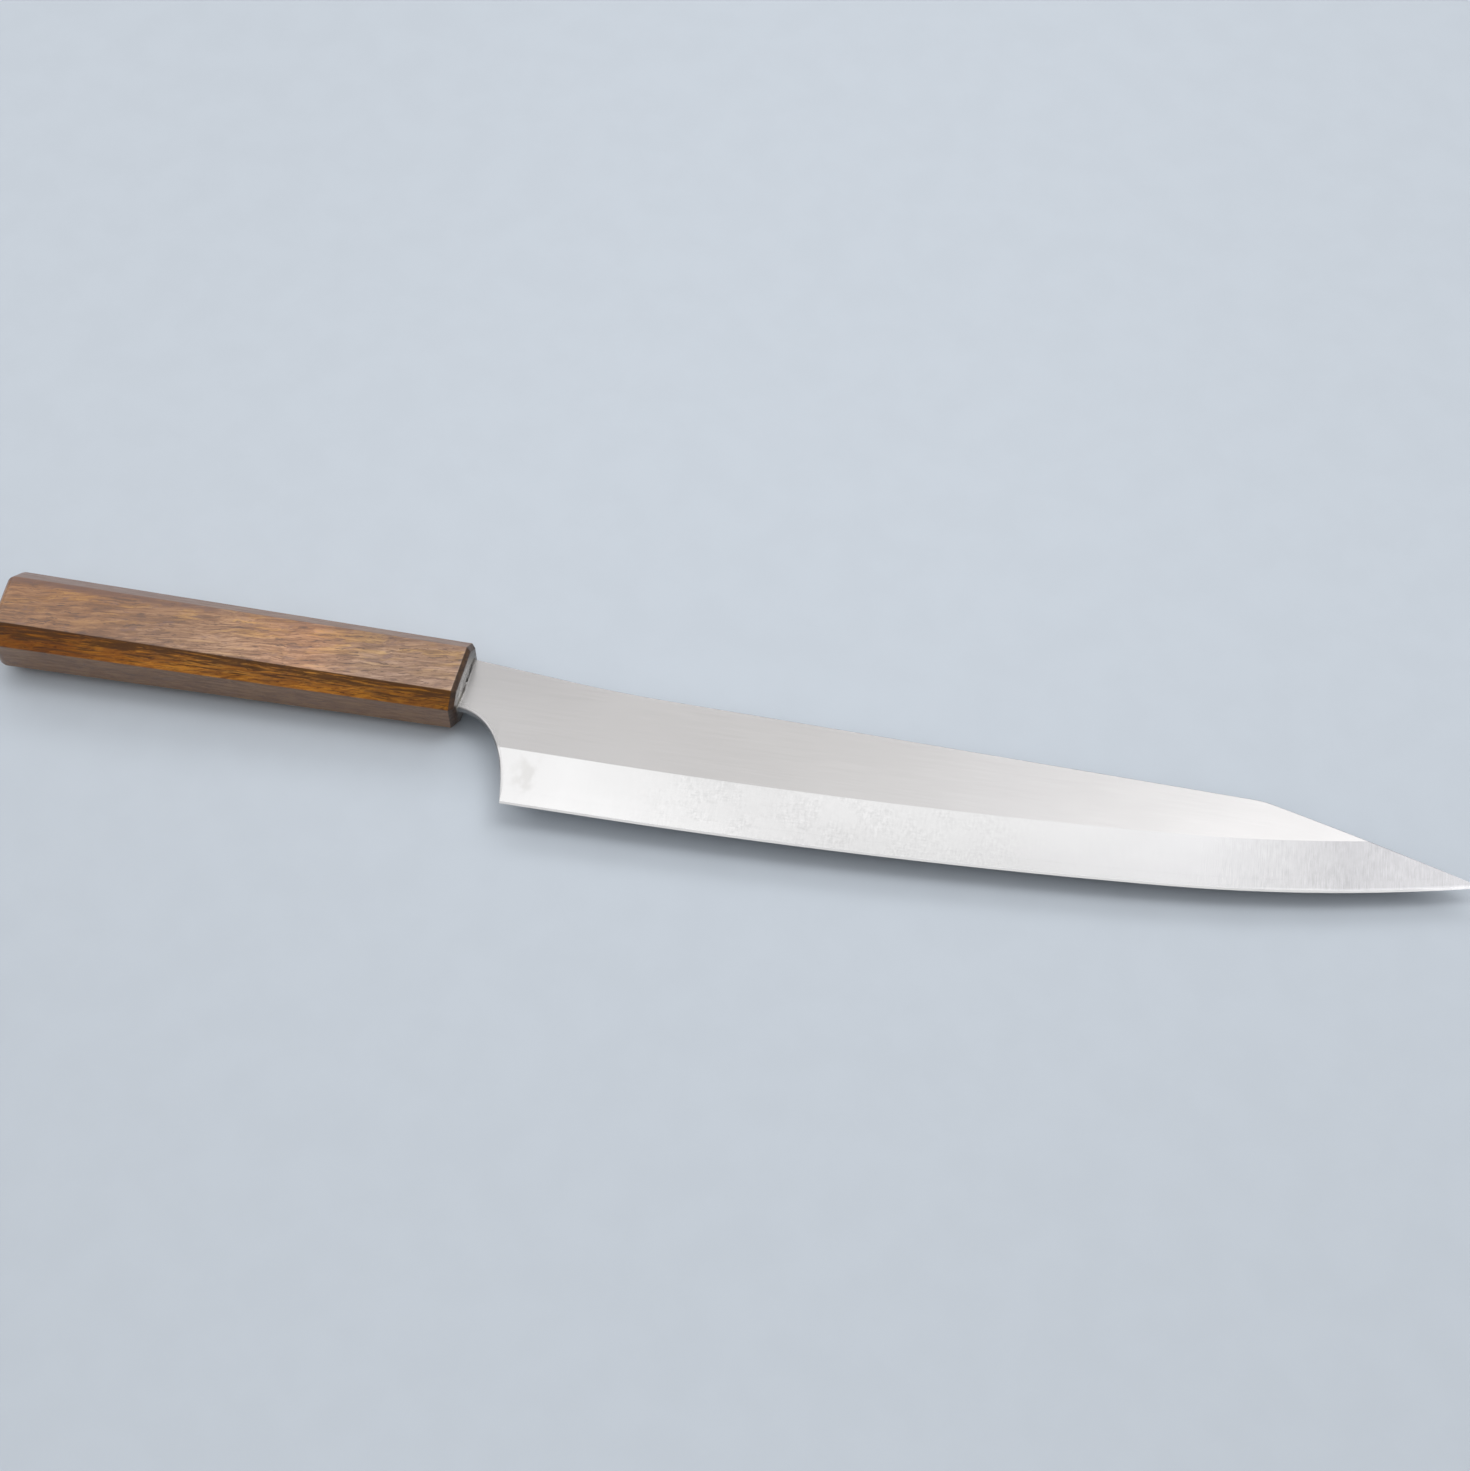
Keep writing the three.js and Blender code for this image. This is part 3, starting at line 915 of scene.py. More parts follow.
def ground_strokes(tree, place, along):
    """Fine noise stretched across the blade, how worn it is, and the tone of fine and broad strokes."""
    fine = grain(tree, place, (0.24, 6, 6), roughness=0.6)
    broad = grain(tree, place, (1.5, 3.2, 3.2), roughness=0.65)
    clumps = rise(tree, grain(tree, place, (5, 8, 8), detail=2), *CLUMPS)
    worn = number(tree, "MAXIMUM", times(tree, rise(tree, along, *STROKES_SET_IN), clumps), LEAST_WORN)
    strokes = plus(tree, times(tree, fine, FINE_SHARE), times(tree, broad, 1 - FINE_SHARE))
    return fine, worn, times(tree, rise(tree, strokes, *NOISE, -STROKE_TONE, STROKE_TONE), worn)


def freckle_tone(tree, place, along):
    """Short marks both ways, in patches, between two places along the blade."""
    freckles = grain(tree, place, (0.7, 1.9, 1.9), roughness=0.65)
    nicks = grain(tree, place, (2.4, 0.5, 0.5), detail=2, roughness=0.6)
    patches = rise(tree, grain(tree, place, (9, 5, 5), detail=2), *FRECKLE_PATCHES)
    tone = rise(tree, freckles, *NOISE, *FRECKLE_TONES)
    tone = plus(tree, tone, rise(tree, nicks, *NOISE, *NICK_TONES))
    return times(tree, rise(tree, along, *FRECKLES_SET_IN), rise(tree, along, *FRECKLES_END), patches, tone)


def ridge_painted_light(tree, share):
    """Painted reflection: lighter above the bevel's middle, darker below, except near the blade's ends."""
    reach = times(tree, rise(tree, share, *RIDGE_LIGHT_SETS_IN), rise(tree, share, *RIDGE_LIGHT_FADES))
    return times(tree, reach, plus(tree, mark(tree, "up_bevel"), -RIDGE_LIGHT_MIDDLE), RIDGE_LIGHT_TONE)


def edge_band_painted_highlight(tree, along, over_edge):
    """Painted highlight: a bright band beside the edge, towards the tip."""
    band = rise(tree, over_edge, *EDGE_BAND_HEIGHT, 0.0, EDGE_BAND_HIGHLIGHT)
    return times(tree, band, rise(tree, along, *EDGE_BAND_SET_IN))


def smudge_share(tree, place):
    """Share of the smudge: falls with the distance from its middle, which noise makes ragged."""
    way = stretched(tree, vector(tree, "SUBTRACT", place, SMUDGE_MIDDLE), SMUDGE_SIZE)
    distance = wire(tree, "ShaderNodeVectorMath", {0: way}, operation="LENGTH").outputs["Value"]
    ragged = plus(tree, distance, rise(tree, grain(tree, place, (3, 4, 4)), *NOISE, *SMUDGE_RAGGED))
    return rise(tree, ragged, 1.0, 0.1, 0.0, SMUDGE_SHARE)


print("strokes set in", STROKES_SET_IN[0], "mm along, freckles", FRECKLES_SET_IN[0], "mm along")

# %% [markdown]
# ## Steel
# The flats are satin: fine hairlines along the blade, faint clouds, and a slight shade beside the neck.
# The small bevel at the edge is brighter, and the eased corner of the choil is painted dark grey, a painted
# shade. The marks on the mesh tell all these apart. One recipe serves all three layers, so that the line
# between them nearly vanishes.

# %% Steel finish
SATIN = (0.985, 1.015)
NECK_SHADE = 0.09
NECK_SHADE_END = (125, 80)
NECK_SHADE_ABOVE = (-10, 4)
EDGE_LINE_HEIGHT = (0.74, 0.66)
EDGE_LINE_END = (352, 335)
EDGE_POLISH_FROM = (304, 322)
CHOIL_SHADE_SHARE = 0.45
FLAT_ROUGHNESS = 0.23
BEVEL_ROUGHNESS = 0.2
HAIRLINE_ROUGHNESS = 0.03
WORN_ROUGHNESS = 0.05
EDGE_ROUGHNESS = 0.3
CHOIL_ROUGHNESS = 0.15
DEEPER_STROKES_FROM = (276, 318)
STROKE_HEIGHTS = (0.03, 0.08)
HAIRLINE_HEIGHT = 0.1
LINE_DEPTH = 0.0008


def steel(name):
    """Satin flats, cross-ground bevels, a bright edge and painted shade on the choil, told apart by the
    mesh's marks.
    """
    material, tree, shader = finish(name, Metallic=1.0)
    place = ruler(tree)
    along, across, _ = split(tree, place)
    share = number(tree, "DIVIDE", plus(tree, along, -TONES_FROM), TONES_LENGTH)
    bevel = mark(tree, "bevel")
    over_edge = mark(tree, "over_edge")
    choil = mark(tree, "choil")
    fine, worn, tone = ground_strokes(tree, place, along)
    # this tone adds painted reflection, lighter towards the ridge
    tone = plus(tree, tone, 1.0, freckle_tone(tree, place, along), ridge_painted_light(tree, share))
    # painted highlight: a bright band beside the edge near the tip
    tone = plus(tree, tone, edge_band_painted_highlight(tree, along, over_edge))
    # painted reflection: the bevel's colour falls from the heel to the tip
    bevel_colour = dyed(tree, shades(tree, share, BEVEL_PAINTED_REFLECTION), tone)
    bevel_colour = mixed(tree, smudge_share(tree, place), bevel_colour, SMUDGE)
    hairlines = grain(tree, place, (60, 0.25, 0.25), roughness=0.6)
    neck_shade = rise(tree, along, *NECK_SHADE_END, 0.0, NECK_SHADE)
    neck_shade = times(tree, neck_shade, rise(tree, across, *NECK_SHADE_ABOVE))
    flat_tone = number(tree, "SUBTRACT", rise(tree, hairlines, *NOISE, *SATIN), neck_shade)
    # painted reflection: the flat's colour changes along the blade
    flat_colour = dyed(tree, shades(tree, share, FLAT_PAINTED_REFLECTION), flat_tone)
    clouds = rise(tree, grain(tree, place, (26, 14, 14)), *NOISE, *SATIN)
    colour = dyed(tree, mixed(tree, bevel, flat_colour, bevel_colour), clouds)
    edge_line = times(tree, rise(tree, over_edge, *EDGE_LINE_HEIGHT), rise(tree, along, *EDGE_LINE_END))
    edge_colour = mixed(tree, rise(tree, along, *EDGE_POLISH_FROM), EDGE_GROUND, EDGE_POLISH)
    colour = mixed(tree, edge_line, colour, edge_colour)
    # painted shade on the eased corner of the choil
    colour = mixed(tree, times(tree, choil, CHOIL_SHADE_SHARE), colour, CHOIL_PAINTED_SHADE)
    roughness = plus(
        tree,
        rise(tree, bevel, 0, 1, FLAT_ROUGHNESS, BEVEL_ROUGHNESS),
        times(tree, hairlines, HAIRLINE_ROUGHNESS),
        times(tree, worn, bevel, WORN_ROUGHNESS),
        times(tree, edge_line, EDGE_ROUGHNESS),
        times(tree, choil, CHOIL_ROUGHNESS),
    )
    stroke_height = times(tree, fine, rise(tree, along, *DEEPER_STROKES_FROM, *STROKE_HEIGHTS))
    lines = mixed(tree, bevel, times(tree, hairlines, HAIRLINE_HEIGHT), stroke_height)
    feed(tree, shader, Base_Color=colour, Roughness=roughness, Normal=relief(tree, lines, LINE_DEPTH))
    return material


cladding_steel = steel("cladding_satin_steel")
core_steel = steel("core_ground_steel")
for piece, material, node, slot in (
    (blade_right, cladding_steel, "cladding_right", "blade_cladding"),
    (blade_left, cladding_steel, "cladding_left", "blade_cladding"),
    (blade_core, core_steel, "core_steel", "blade_core"),
):
    piece.data.materials.append(material)
    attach(piece, "root")
    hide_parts(node)
print("steel nodes:", len(cladding_steel.node_tree.nodes))

# %% [markdown]
# ## Wood colours
# The handle is a warm brown hardwood. Fibres give it its base tone, over which lie golden and purple
# patches, dark dashes and short pores. The top carries a painted sheen, paler and cooler, and the near
# chamfer is amber with dark stains. The sides are darkened as painted shade, and the grey of the front
# face is partly painted reflection. Each tint below is either a colour to mix in or a factor to multiply by.

# %% Wood tones
WOOD_TONES = (
    (0.0, (0.190, 0.080, 0.020)),
    (0.5, (0.300, 0.138, 0.038)),
    (1.0, (0.430, 0.220, 0.070)),
)
# painted sheen of the top: a scale along the handle, and below it a tint across it
TOP_SHEEN_TONES = (
    (0.13, (0.830, 0.710, 0.500)),
    (0.28, (0.825, 0.775, 0.710)),
    (0.50, (1.050, 1.050, 1.040)),
    (0.74, (1.290, 1.180, 1.100)),
    (0.87, (1.020, 1.100, 1.270)),
)
NEAR_PAINTED_SHEEN = (1.06, 1.20, 2.2, 1)
FAR_PAINTED_SHEEN = (1.02, 1.05, 1.5, 1)
GOLDEN = (1.20, 1.20, 0.75, 1)
PURPLE = (0.165, 0.085, 0.070, 1)
DASH = (0.090, 0.036, 0.018, 1)
REDDISH = (0.130, 0.052, 0.034, 1)
STAIN = (0.080, 0.030, 0.006, 1)
CHAMFER_TONES = (
    (0.10, (0.700, 0.490, 0.180)),
    (0.30, (1.280, 1.060, 0.580)),
    (0.52, (0.990, 0.850, 0.570)),
    (0.75, (1.280, 1.110, 0.730)),
    (0.92, (0.960, 0.770, 0.300)),
)
AMBER = (1.20, 1.08, 0.65, 1)
# painted shade of the sides
SIDE_PAINTED_SHADE = (0.166, 0.077, 0.034, 1)
END_GRAIN = (0.046, 0.022, 0.010, 1)
# grey of the front face, partly painted reflection of the blade
SEAL_PAINTED_REFLECTION = (0.24, 0.23, 0.215, 1)
HANDLE_ENDS = (-75, 75)
GOLDEN_SPOTS = ((15, 2.2, 2.2), 0.50, 0.62)
PURPLE_SPOTS = ((7, 2.4, 2.4), 0.57, 0.68, 0.5)
DASH_SPOTS = ((6, 0.6, 0.6), 0.57, 0.63)
PORE_SPOTS = ((2.6, 0.34, 0.34), 0.58, 0.66, 0.6)
print("wood tones:", len(WOOD_TONES), "in the fibres,", len(TOP_SHEEN_TONES), "along the top")

# %% [markdown]
# ## Wood figure
# Nearly all noises of the wood share one set of coordinates. It is turned to the slant of the grain and
# sways slowly, so that streaks, dashes and pores bend together as real fibres do. Rings of a wave texture
# would be the usual way, but this wood shows no growth rings.

# %% Wood helpers
GRAIN_SLANT = math.radians(-7)
SWAY_SIZE = (14, 6, 6)
SWAY_REACH = (2, 3.2, 3.2)
TOP_CORNERS = (-7.5, 7.5)
STAIN_RAGGED = 3.2
STAIN_BORDER = (0.48, 0.78, 0.0, 0.8)
CLEAN_BORDER = (0.6, 0.1)
CLEAN_ALONG = (68, 30, 0.3, 1.0)


def swaying(tree, place):
    """Coordinates turned to the grain's slant and pushed about by a slow noise."""
    slanted = wire(tree, "ShaderNodeMapping", {"Vector": place, "Rotation": (0, 0, GRAIN_SLANT)}).outputs[0]
    inputs = {"Vector": stretched(tree, slanted, SWAY_SIZE), "Scale": 1.0, "Detail": 3.0}
    noise = wire(tree, "ShaderNodeTexNoise", inputs).outputs[1]
    push = vector(tree, "MULTIPLY", vector(tree, "SUBTRACT", noise, (0.5, 0.5, 0.5)), SWAY_REACH)
    return vector(tree, "ADD", slanted, push)


def spots(tree, place, lengths, start, end, high=1.0):
    """Share from 0 to high of a mark left where a stretched noise passes from start to end."""
    return rise(tree, grain(tree, place, lengths, roughness=0.6), start, end, 0.0, high)


def painted_top_sheen(tree, across, along_share):
    """Painted sheen on the top: a tint from the near to the far corner, times a scale along the handle."""
    sheen = mixed(tree, rise(tree, across, *TOP_CORNERS), NEAR_PAINTED_SHEEN, FAR_PAINTED_SHEEN)
    return dyed(tree, sheen, shades(tree, along_share, TOP_SHEEN_TONES))


def stained(tree, place, along, along_share, colour):
    """Near chamfer: a scale along the handle, amber where clean, and a ragged stain at its upper corner."""
    chamfer = mark(tree, "chamfer")
    ragged = plus(tree, grain(tree, place, (9, 0.5, 0.5), roughness=0.6), -0.5)
    stain = plus(tree, mark(tree, "stain"), times(tree, chamfer, ragged, STAIN_RAGGED))
    clean = times(tree, chamfer, rise(tree, stain, *CLEAN_BORDER), rise(tree, along, *CLEAN_ALONG))
    colour = tinted(tree, chamfer, colour, shades(tree, along_share, CHAMFER_TONES))
    colour = tinted(tree, clean, colour, AMBER)
    return mixed(tree, rise(tree, stain, *STAIN_BORDER), colour, STAIN)


print("grain slants by", round(math.degrees(GRAIN_SLANT)), "degrees")

# %% [markdown]
# ## Wood
# Now the layers go on in order: base tone, painted sheen of the top, patches, dashes and pores, a reddish
# band along the far corner, the stained chamfer, the plainer sides darkened as painted shade, the dark end
# grain, and the grey seal on the front face, which is partly painted reflection of the blade and gives way
# to painted shadow below the neck. A thin satin coat lies over all but the end grain. Fibres and dashes
# also make the relief.

# %% Wood finish
TONE_RANGE = (0.41, 0.585)
STREAK_SHARE = 0.4
FIBRE_SHARE = 0.4
PATCH_SHARE = 0.2
GOLDEN_ACROSS = (-5, 3, 0.3, 0.9)
DASHES_IN_PATCHES = (0.56, 0.44, 0.2, 0.85)
FAR_BAND_RAGGED = 5.0
FAR_BAND_BORDER = (7.6, 9.4)
FAR_BAND_ALONG = (15, -40, 0.35, 0.75)
SIDE_SHADE_SHARE = 0.65
END_SHARE = 0.92
END_STREAKS = (0.5, 1.5)
# below the neck the grey gives way to dark end grain as painted shadow
SEAL_ABOVE_PAINTED_SHADOW = (-9.5, -7.5, 0.0, 0.8)
STREAK_ROUGHNESS = (0.35, 0.65, 0.46, 0.34)
END_COAT = 0.05
PLAIN_COAT = 0.5
FIBRE_HEIGHT = 0.5
FIBRE_DEPTH = 0.006


def handle_wood():
    """Pale fibres under patches, dashes and stains, each mixed in by its own share; end grain has no coat."""
    material, tree, shader = finish("handle_wood", IOR=1.5, Coat_Roughness=0.24, Coat_IOR=1.5)
    place = ruler(tree)
    along, across, _ = split(tree, place)
    along_share = rise(tree, along, *HANDLE_ENDS)
    fibre_place = swaying(tree, place)
    plain_shaded_side = mark(tree, "plain_shaded_side")
    end_grain = mark(tree, "end_grain")
    patches = grain(tree, fibre_place, (13, 4, 4), detail=4, roughness=0.55)
    streaks = grain(tree, fibre_place, (12, 1.1, 1.1), detail=4, roughness=0.6)
    fibres = grain(tree, fibre_place, (8, 0.55, 0.55), roughness=0.6)
    tone = plus(tree, times(tree, streaks, STREAK_SHARE), times(tree, fibres, FIBRE_SHARE))
    tone = plus(tree, tone, times(tree, patches, PATCH_SHARE))
    tone = wire(tree, "ShaderNodeMapRange", {0: tone, 1: TONE_RANGE[0], 2: TONE_RANGE[1]}).outputs[0]
    colour = shades(tree, tone, WOOD_TONES)
    # painted sheen laid on the top
    colour = tinted(tree, mark(tree, "top"), colour, painted_top_sheen(tree, across, along_share))
    golden = times(tree, spots(tree, fibre_place, *GOLDEN_SPOTS), rise(tree, across, *GOLDEN_ACROSS))
    colour = tinted(tree, golden, colour, GOLDEN)
    colour = mixed(tree, spots(tree, fibre_place, *PURPLE_SPOTS), colour, PURPLE)
    dashes = times(tree, spots(tree, fibre_place, *DASH_SPOTS), rise(tree, patches, *DASHES_IN_PATCHES))
    colour = mixed(tree, dashes, colour, DASH)
    colour = mixed(tree, spots(tree, fibre_place, *PORE_SPOTS), colour, DASH)
    far_band = rise(tree, plus(tree, across, times(tree, streaks, FAR_BAND_RAGGED)), *FAR_BAND_BORDER)
    far_band = times(tree, far_band, rise(tree, along, *FAR_BAND_ALONG))
    colour = mixed(tree, far_band, colour, REDDISH)
    colour = stained(tree, place, along, along_share, colour)
    # painted shade darkens the sides
    colour = mixed(tree, times(tree, plain_shaded_side, SIDE_SHADE_SHARE), colour, SIDE_PAINTED_SHADE)
    end_colour = dyed(tree, END_GRAIN, rise(tree, streaks, *NOISE, *END_STREAKS))
    colour = mixed(tree, times(tree, end_grain, END_SHARE), colour, end_colour)
    # grey front face, partly painted reflection; below the neck painted shadow
    seal_and_reflection = times(tree, mark(tree, "seal_and_reflection"), rise(tree, across, *SEAL_ABOVE_PAINTED_SHADOW))
    colour = mixed(tree, seal_and_reflection, colour, SEAL_PAINTED_REFLECTION)
    roughness = rise(tree, streaks, *STREAK_ROUGHNESS)
    coat = times(tree, rise(tree, end_grain, 0, 1, 1.0, END_COAT), rise(tree, plain_shaded_side, 0, 1, 1.0, PLAIN_COAT))
    surface = number(tree, "SUBTRACT", times(tree, fibres, FIBRE_HEIGHT), dashes)
    feed(tree, shader, Base_Color=colour, Roughness=roughness, Coat_Weight=coat)
    feed(tree, shader, Normal=relief(tree, surface, FIBRE_DEPTH))
    return material


handle.data.materials.append(handle_wood())
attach(handle, "root")
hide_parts("handle_body")
print("wood nodes:", len(handle.data.materials[0].node_tree.nodes))

# %% [markdown]
# ## Mouth putty
# The filler is resin putty with wood flour in it, lumpy and half matt. It is nearly black in a patch
# beside the neck, where the resin came to the top, and paler towards the edge side. Two noises do it: one
# for the lumps, one for specks of flour.

# %% Putty finish
FLOUR_DARK = (0.11, 0.1, 0.095, 1)
FLOUR_PALE = (0.28, 0.265, 0.235, 1)
RESIN_TONES = ((0.35, (0.010, 0.010, 0.011)), (0.65, (0.060, 0.058, 0.056)))
SPECK = (0.2, 0.17, 0.14, 1)
SPECK_SHARE = 0.25
LUMP_SPREAD = 3.0
RESIN_REACH = (6.2, 4.0)
RESIN_FROM = (-1.5, 1.5)
RESIN_TO = (7.5, 4.5)
PALE_FROM = (-2.0, -5.0)
PUTTY_ROUGHNESS = (0.2, 0.4)
LUMP_DEPTH = 0.05


def filler_putty():
    """Noises mix dark resin and grey wood flour: resin in a patch beside the neck, paler to the edge side."""
    material, tree, shader = finish("mouth_filler_putty", IOR=1.52, Coat_Weight=0.3, Coat_Roughness=0.3)
    place = ruler(tree)
    _, across, height = split(tree, place)
    lumps = grain(tree, place, (1.1, 1.4, 1.1), detail=4, roughness=0.65)
    specks = grain(tree, place, (0.35, 0.35, 0.35), detail=2)
    off_neck = number(tree, "ABSOLUTE", plus(tree, height, -handle_axis_z))
    spread = rise(tree, plus(tree, off_neck, times(tree, lumps, LUMP_SPREAD)), *RESIN_REACH)
    resin = times(tree, spread, rise(tree, across, *RESIN_FROM), rise(tree, across, *RESIN_TO))
    flour = mixed(tree, rise(tree, across, *PALE_FROM), FLOUR_DARK, FLOUR_PALE)
    colour = mixed(tree, resin, flour, shades(tree, lumps, RESIN_TONES))
    colour = mixed(tree, times(tree, specks, SPECK_SHARE), colour, SPECK)
    roughness = rise(tree, lumps, *NOISE, *PUTTY_ROUGHNESS)
    feed(tree, shader, Base_Color=colour, Roughness=roughness, Normal=relief(tree, lumps, LUMP_DEPTH))
    return material


filler.data.materials.append(filler_putty())
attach(filler, "root")
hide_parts("neck_seal")
print("bead of putty:", bead_height, "mm high")

# %% [markdown]
# ## Dowel, resin and tang
# These three are hidden in the handle and keep their solids, but each still gets the finish of its own
# stuff: pale straight-grained wood, honey-coloured resin with bubbles, and forged steel with a dull
# scale.

# %% Hidden finishes
DOWEL_TONES = ((0.3, (0.36, 0.23, 0.11)), (0.5, (0.54, 0.37, 0.2)), (0.7, (0.66, 0.49, 0.29)))
HONEY_TONES = ((0.35, (0.34, 0.21, 0.07)), (0.65, (0.52, 0.36, 0.15)))
BUBBLE = (0.7, 0.6, 0.4, 1)
BUBBLE_SIZE = (0.9, 0.9, 0.9)
SCALE_TONES = ((0.35, (0.2, 0.19, 0.19)), (0.6, (0.45, 0.44, 0.44)))


def dowel_wood():
    """Pale straight grain: one noise stretched along the dowel gives colour, roughness and relief."""
    material, tree, shader = finish("dowel_wood", IOR=1.5)
    fibres = grain(tree, ruler(tree), (22, 0.7, 0.7), detail=5, roughness=0.6)
    roughness = rise(tree, fibres, *NOISE, 0.75, 0.6)
    colour = shades(tree, fibres, DOWEL_TONES)
    feed(tree, shader, Base_Color=colour, Roughness=roughness, Normal=relief(tree, fibres, 0.03))
    return material


def bedding_resin():
    """Honey-coloured resin, cloudy, with small bubbles from round cells."""
    material, tree, shader = finish("bedding_resin", IOR=1.55)
    place = ruler(tree)
    clouds = grain(tree, place, (5, 3, 3))
    cells = {"Vector": stretched(tree, place, BUBBLE_SIZE), "Scale": 1.0}
    pits = rise(tree, wire(tree, "ShaderNodeTexVoronoi", cells).outputs[0], 0.2, 0.1)
    colour = mixed(tree, times(tree, pits, 0.5), shades(tree, clouds, HONEY_TONES), BUBBLE)
    roughness = rise(tree, clouds, *NOISE, 0.2, 0.35)
    feed(tree, shader, Base_Color=colour, Roughness=roughness, Normal=relief(tree, pits, -0.05))
    return material


def tang_steel():
    """Forged steel: dull scale in clouds over brushed metal."""
    material, tree, shader = finish("tang_steel", Metallic=1.0)
    place = ruler(tree)
    scale = grain(tree, place, (4, 2.5, 2.5), detail=5, roughness=0.65)
    strokes = grain(tree, place, (12, 0.3, 0.3))
    roughness = rise(tree, scale, *NOISE, 0.62, 0.4)
    colour = shades(tree, scale, SCALE_TONES)
    feed(tree, shader, Base_Color=colour, Roughness=roughness, Normal=relief(tree, strokes, 0.01))
    return material


hidden_finishes = {"tang_dowel": dowel_wood(), "tang_bedding": bedding_resin(), "tang": tang_steel()}
for node, material in hidden_finishes.items():
    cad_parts[node].data.materials.clear()
    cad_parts[node].data.materials.append(material)
print("hidden nodes keep their solids:", ", ".join(hidden_finishes))

# %% [markdown]
# ## Floor
# The knife lies on plain pale paper, a little cool, that reaches past every view. Its colour is painted
# darker towards the near side and to both sides, a painted falloff of light as on a table lit from behind.
# One large face would do as well; the small grid is made in the same way as the other surfaces.

# %% Pale floor
FLOOR_REACH = 6.0
FLOOR_DROP = 0.0001
FLOOR_TONE = (0.588, 0.643, 0.706, 1)
PICTURE_MIDDLE = 147.0
# painted falloff of light on the floor
NEAR_PAINTED_FALLOFF = (-260, 120, 0.895, 1.0)
SIDE_PAINTED_FALLOFF = (30, 240, 1.0, 0.965)
PAPER_TONES = (0.99, 1.01)
FLOOR_LINES = 9
floor_steps = np.linspace(-FLOOR_REACH, FLOOR_REACH, FLOOR_LINES)
floor_x, floor_y = np.meshgrid(floor_steps, floor_steps, indexing="ij")
floor_points = np.stack([floor_x, floor_y, np.full_like(floor_x, -FLOOR_DROP)], axis=-1).reshape(-1, 3)
floor_index = np.arange(len(floor_points)).reshape(floor_x.shape)
floor_quads = np.stack([
    floor_index[:-1, :-1], floor_index[1:, :-1], floor_index[1:, 1:], floor_index[:-1, 1:],
], axis=-1).reshape(-1, 4)
floor_mesh = bpy.data.meshes.new("pale_floor")
floor_mesh.from_pydata(floor_points.tolist(), [], floor_quads.tolist())
floor = bpy.data.objects.new("pale_floor", floor_mesh)
bpy.context.scene.collection.objects.link(floor)


def floor_paper():
    """Cool pale paper with faint fibre clouds; painted falloff of light darkens it to the near side and
    sides.
    """
    material, tree, shader = finish("floor_paper", Roughness=0.8, IOR=1.3)
    place = ruler(tree)
    fibres = grain(tree, place, (14, 14, 14), detail=4)
    along, across, _ = split(tree, place)
    aside = number(tree, "ABSOLUTE", plus(tree, along, -PICTURE_MIDDLE))
    # painted falloff of light, darker towards the near side and to both sides
    painted_falloff = times(tree, rise(tree, across, *NEAR_PAINTED_FALLOFF), rise(tree, aside, *SIDE_PAINTED_FALLOFF))
    tone = times(tree, painted_falloff, rise(tree, fibres, *NOISE, *PAPER_TONES))
    feed(tree, shader, Base_Color=dyed(tree, FLOOR_TONE, tone))
    return material


floor_mesh.materials.append(floor_paper())
print("floor reaches", FLOOR_REACH, "m each way")

# %% [markdown]
# ## Light
# A large soft box hangs overhead and a little behind the knife. A smaller box at the left, a window far
# behind and a dim fill in front help it. All of it is drawn into the world: a direction is followed up to
# a ceiling one unit above, which gives two numbers, u across and v away, and each lamp is a soft-edged
# patch on that ceiling. The main box has a wide glow, and its far border is slanted, so the left of the
# blade's flat mirrors the glow and the right of it the box, while the tilted bevel mirrors the box all
# along. The light on the floor adds up to about one, so colours come out as written. Area lamps would do
# as well, but a metal blade would mirror their hard corners.

# %% Lamps on the ceiling
BOX_LIGHT = 3.63
GLOW_LIGHT = 0.565
LEFT_LIGHT = 2.0
FAR_LIGHT = 2.1
NEAR_LIGHT = 0.5
BOX_SLANT = 0.65
LOWEST_CEILING = 0.05
BOX_FAR_BORDER = (0.574, -0.026)
GLOW_FAR_BORDER = (1.74, 0.62)
MAIN_BORDERS = ((-0.05, 0.3), (-1.9, -1.2), (0.9, 0.5))
LEFT_BORDERS = ((-0.6, -0.1), (0.5, 0.1), (-2.0, -1.3), (-0.3, -0.7))
FAR_BORDERS = ((0.75, 1.05), (1.8, 1.3), (-2.2, -1.4), (1.2, 0.6))
NEAR_BORDERS = ((0.0, -0.4), (-0.75, -0.5))
LAMPS_FADE = (0.0, 0.2)
HORIZON_BORDER = (0.05, 0.2)
ROOM_BORDER = (-0.75, -0.35)
HORIZON = (0.38, 0.4, 0.42, 1)
NEAR_ROOM = (0.04, 0.04, 0.041, 1)
FAR_ROOM = (0.35, 0.35, 0.355, 1)


def patch(tree, level, values, borders):
    """A soft-edged patch of light: its level times one rise for each value, dark to bright at its border."""
    light = level
    for value, (dark, bright) in zip(values, borders):
        light = times(tree, rise(tree, value, dark, bright), light)
    return light


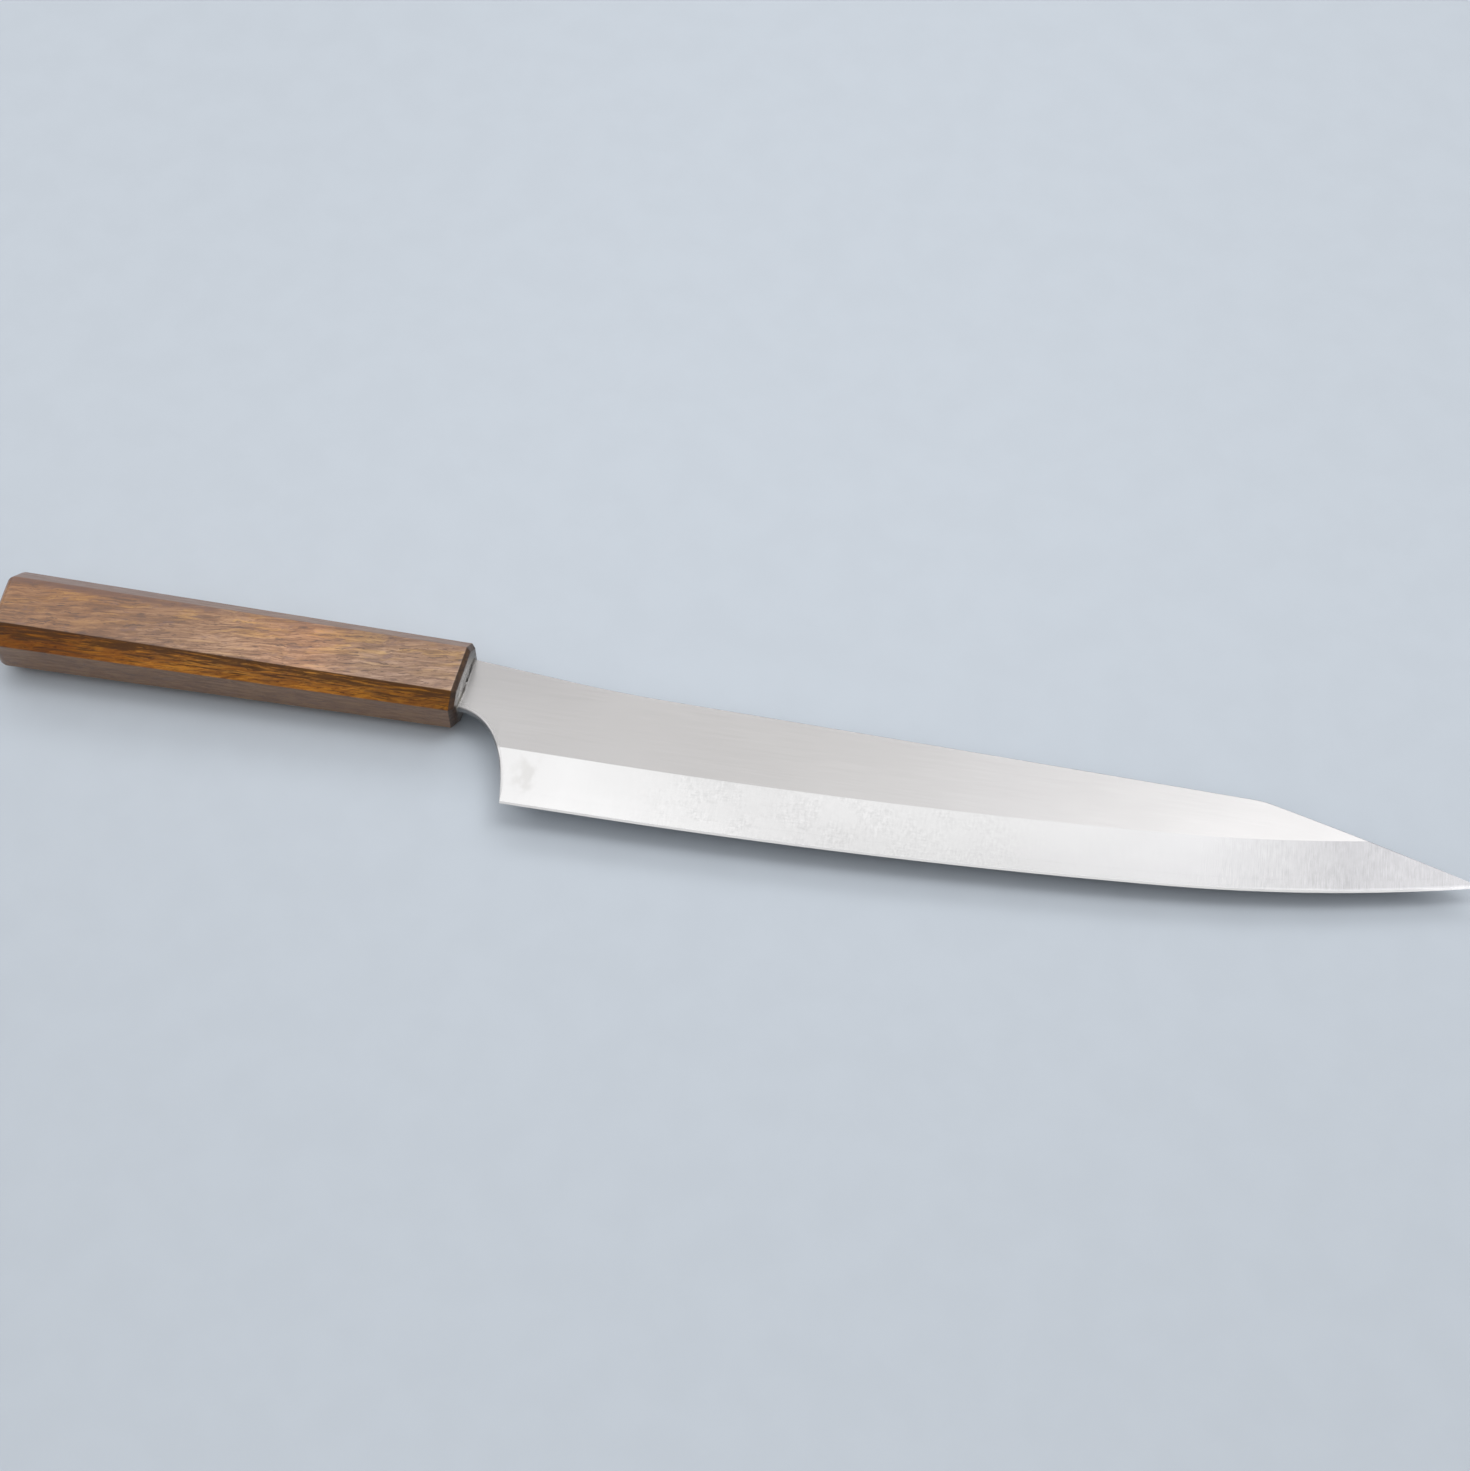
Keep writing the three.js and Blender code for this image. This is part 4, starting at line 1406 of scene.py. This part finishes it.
def studio_light():
    """Room light plus the sum of the patches on the ceiling plane, faded out just above the horizon."""
    world = bpy.data.worlds.new("studio")
    bpy.context.scene.world = world
    world.use_nodes = True
    tree = world.node_tree
    direction = tree.nodes.new("ShaderNodeTexCoord").outputs["Generated"]
    x, y, z = split(tree, direction)
    upward = number(tree, "MAXIMUM", z, LOWEST_CEILING)
    u = number(tree, "DIVIDE", x, upward)
    v = number(tree, "DIVIDE", y, upward)
    slanted = number(tree, "SUBTRACT", v, times(tree, u, BOX_SLANT))
    glow = patch(tree, GLOW_LIGHT, (slanted,), (GLOW_FAR_BORDER,))
    box = patch(tree, BOX_LIGHT, (slanted,), (BOX_FAR_BORDER,))
    main = patch(tree, plus(tree, glow, box), (v, u, u), MAIN_BORDERS)
    left = patch(tree, LEFT_LIGHT, (v, v, u, u), LEFT_BORDERS)
    far = patch(tree, FAR_LIGHT, (v, v, u, u), FAR_BORDERS)
    near = patch(tree, NEAR_LIGHT, (v, y), NEAR_BORDERS)
    lamps = times(tree, plus(tree, main, far, left, near), rise(tree, z, *LAMPS_FADE))
    room = mixed(tree, rise(tree, y, *ROOM_BORDER), NEAR_ROOM, FAR_ROOM)
    room = mixed(tree, rise(tree, z, *HORIZON_BORDER), HORIZON, room)
    background = tree.nodes["Background"]
    tree.links.new(mixed(tree, 1.0, room, lamps, how="ADD"), background.inputs["Color"])
    background.inputs["Strength"].default_value = 1.0
    return world


studio = studio_light()
bpy.context.scene.view_settings.view_transform = "Standard"
print("light nodes:", len(studio.node_tree.nodes))

# %% [markdown]
# ## Camera
# The photograph looks down on the knife from in front, a little from the right, with the handle at the
# left and the tip running out at the right. Focal length, height, turn and roll were found by fitting the
# knife's outline.

# %% Camera at the photograph's angle
IMAGE_LONG_SIDE = 1471
SENSOR_WIDTH = 36
NEAREST_SEEN = 0.01
focal_pixels = 2237.12
camera_turn = math.radians(8.761)
camera_rise = math.radians(59.650)
camera_roll = math.radians(0.6706)
target_forward = 78.862
target_across = 1.740
camera_target = Vector((handle_front_x + target_forward, target_across, 0.0)) * MM
camera_distance = 643.520 * MM
back = Vector((
    math.sin(camera_turn) * math.cos(camera_rise),
    -math.cos(camera_turn) * math.cos(camera_rise),
    math.sin(camera_rise),
))
level_right = Vector((math.cos(camera_turn), math.sin(camera_turn), 0))
level_up = back.cross(level_right)
right = level_right * math.cos(camera_roll) + level_up * math.sin(camera_roll)
up = level_up * math.cos(camera_roll) - level_right * math.sin(camera_roll)
camera_data = bpy.data.cameras.new("camera")
camera_data.sensor_width = SENSOR_WIDTH
camera_data.lens = SENSOR_WIDTH * focal_pixels / IMAGE_LONG_SIDE
camera_data.clip_start = NEAREST_SEEN
camera = bpy.data.objects.new("camera", camera_data)
bpy.context.scene.collection.objects.link(camera)
location = camera_target + back * camera_distance
camera.matrix_world = Matrix((
    (right.x, up.x, back.x, location.x),
    (right.y, up.y, back.y, location.y),
    (right.z, up.z, back.z, location.z),
    (0, 0, 0, 1),
))
bpy.context.scene.camera = camera
print("lens", round(camera_data.lens, 2), "mm")
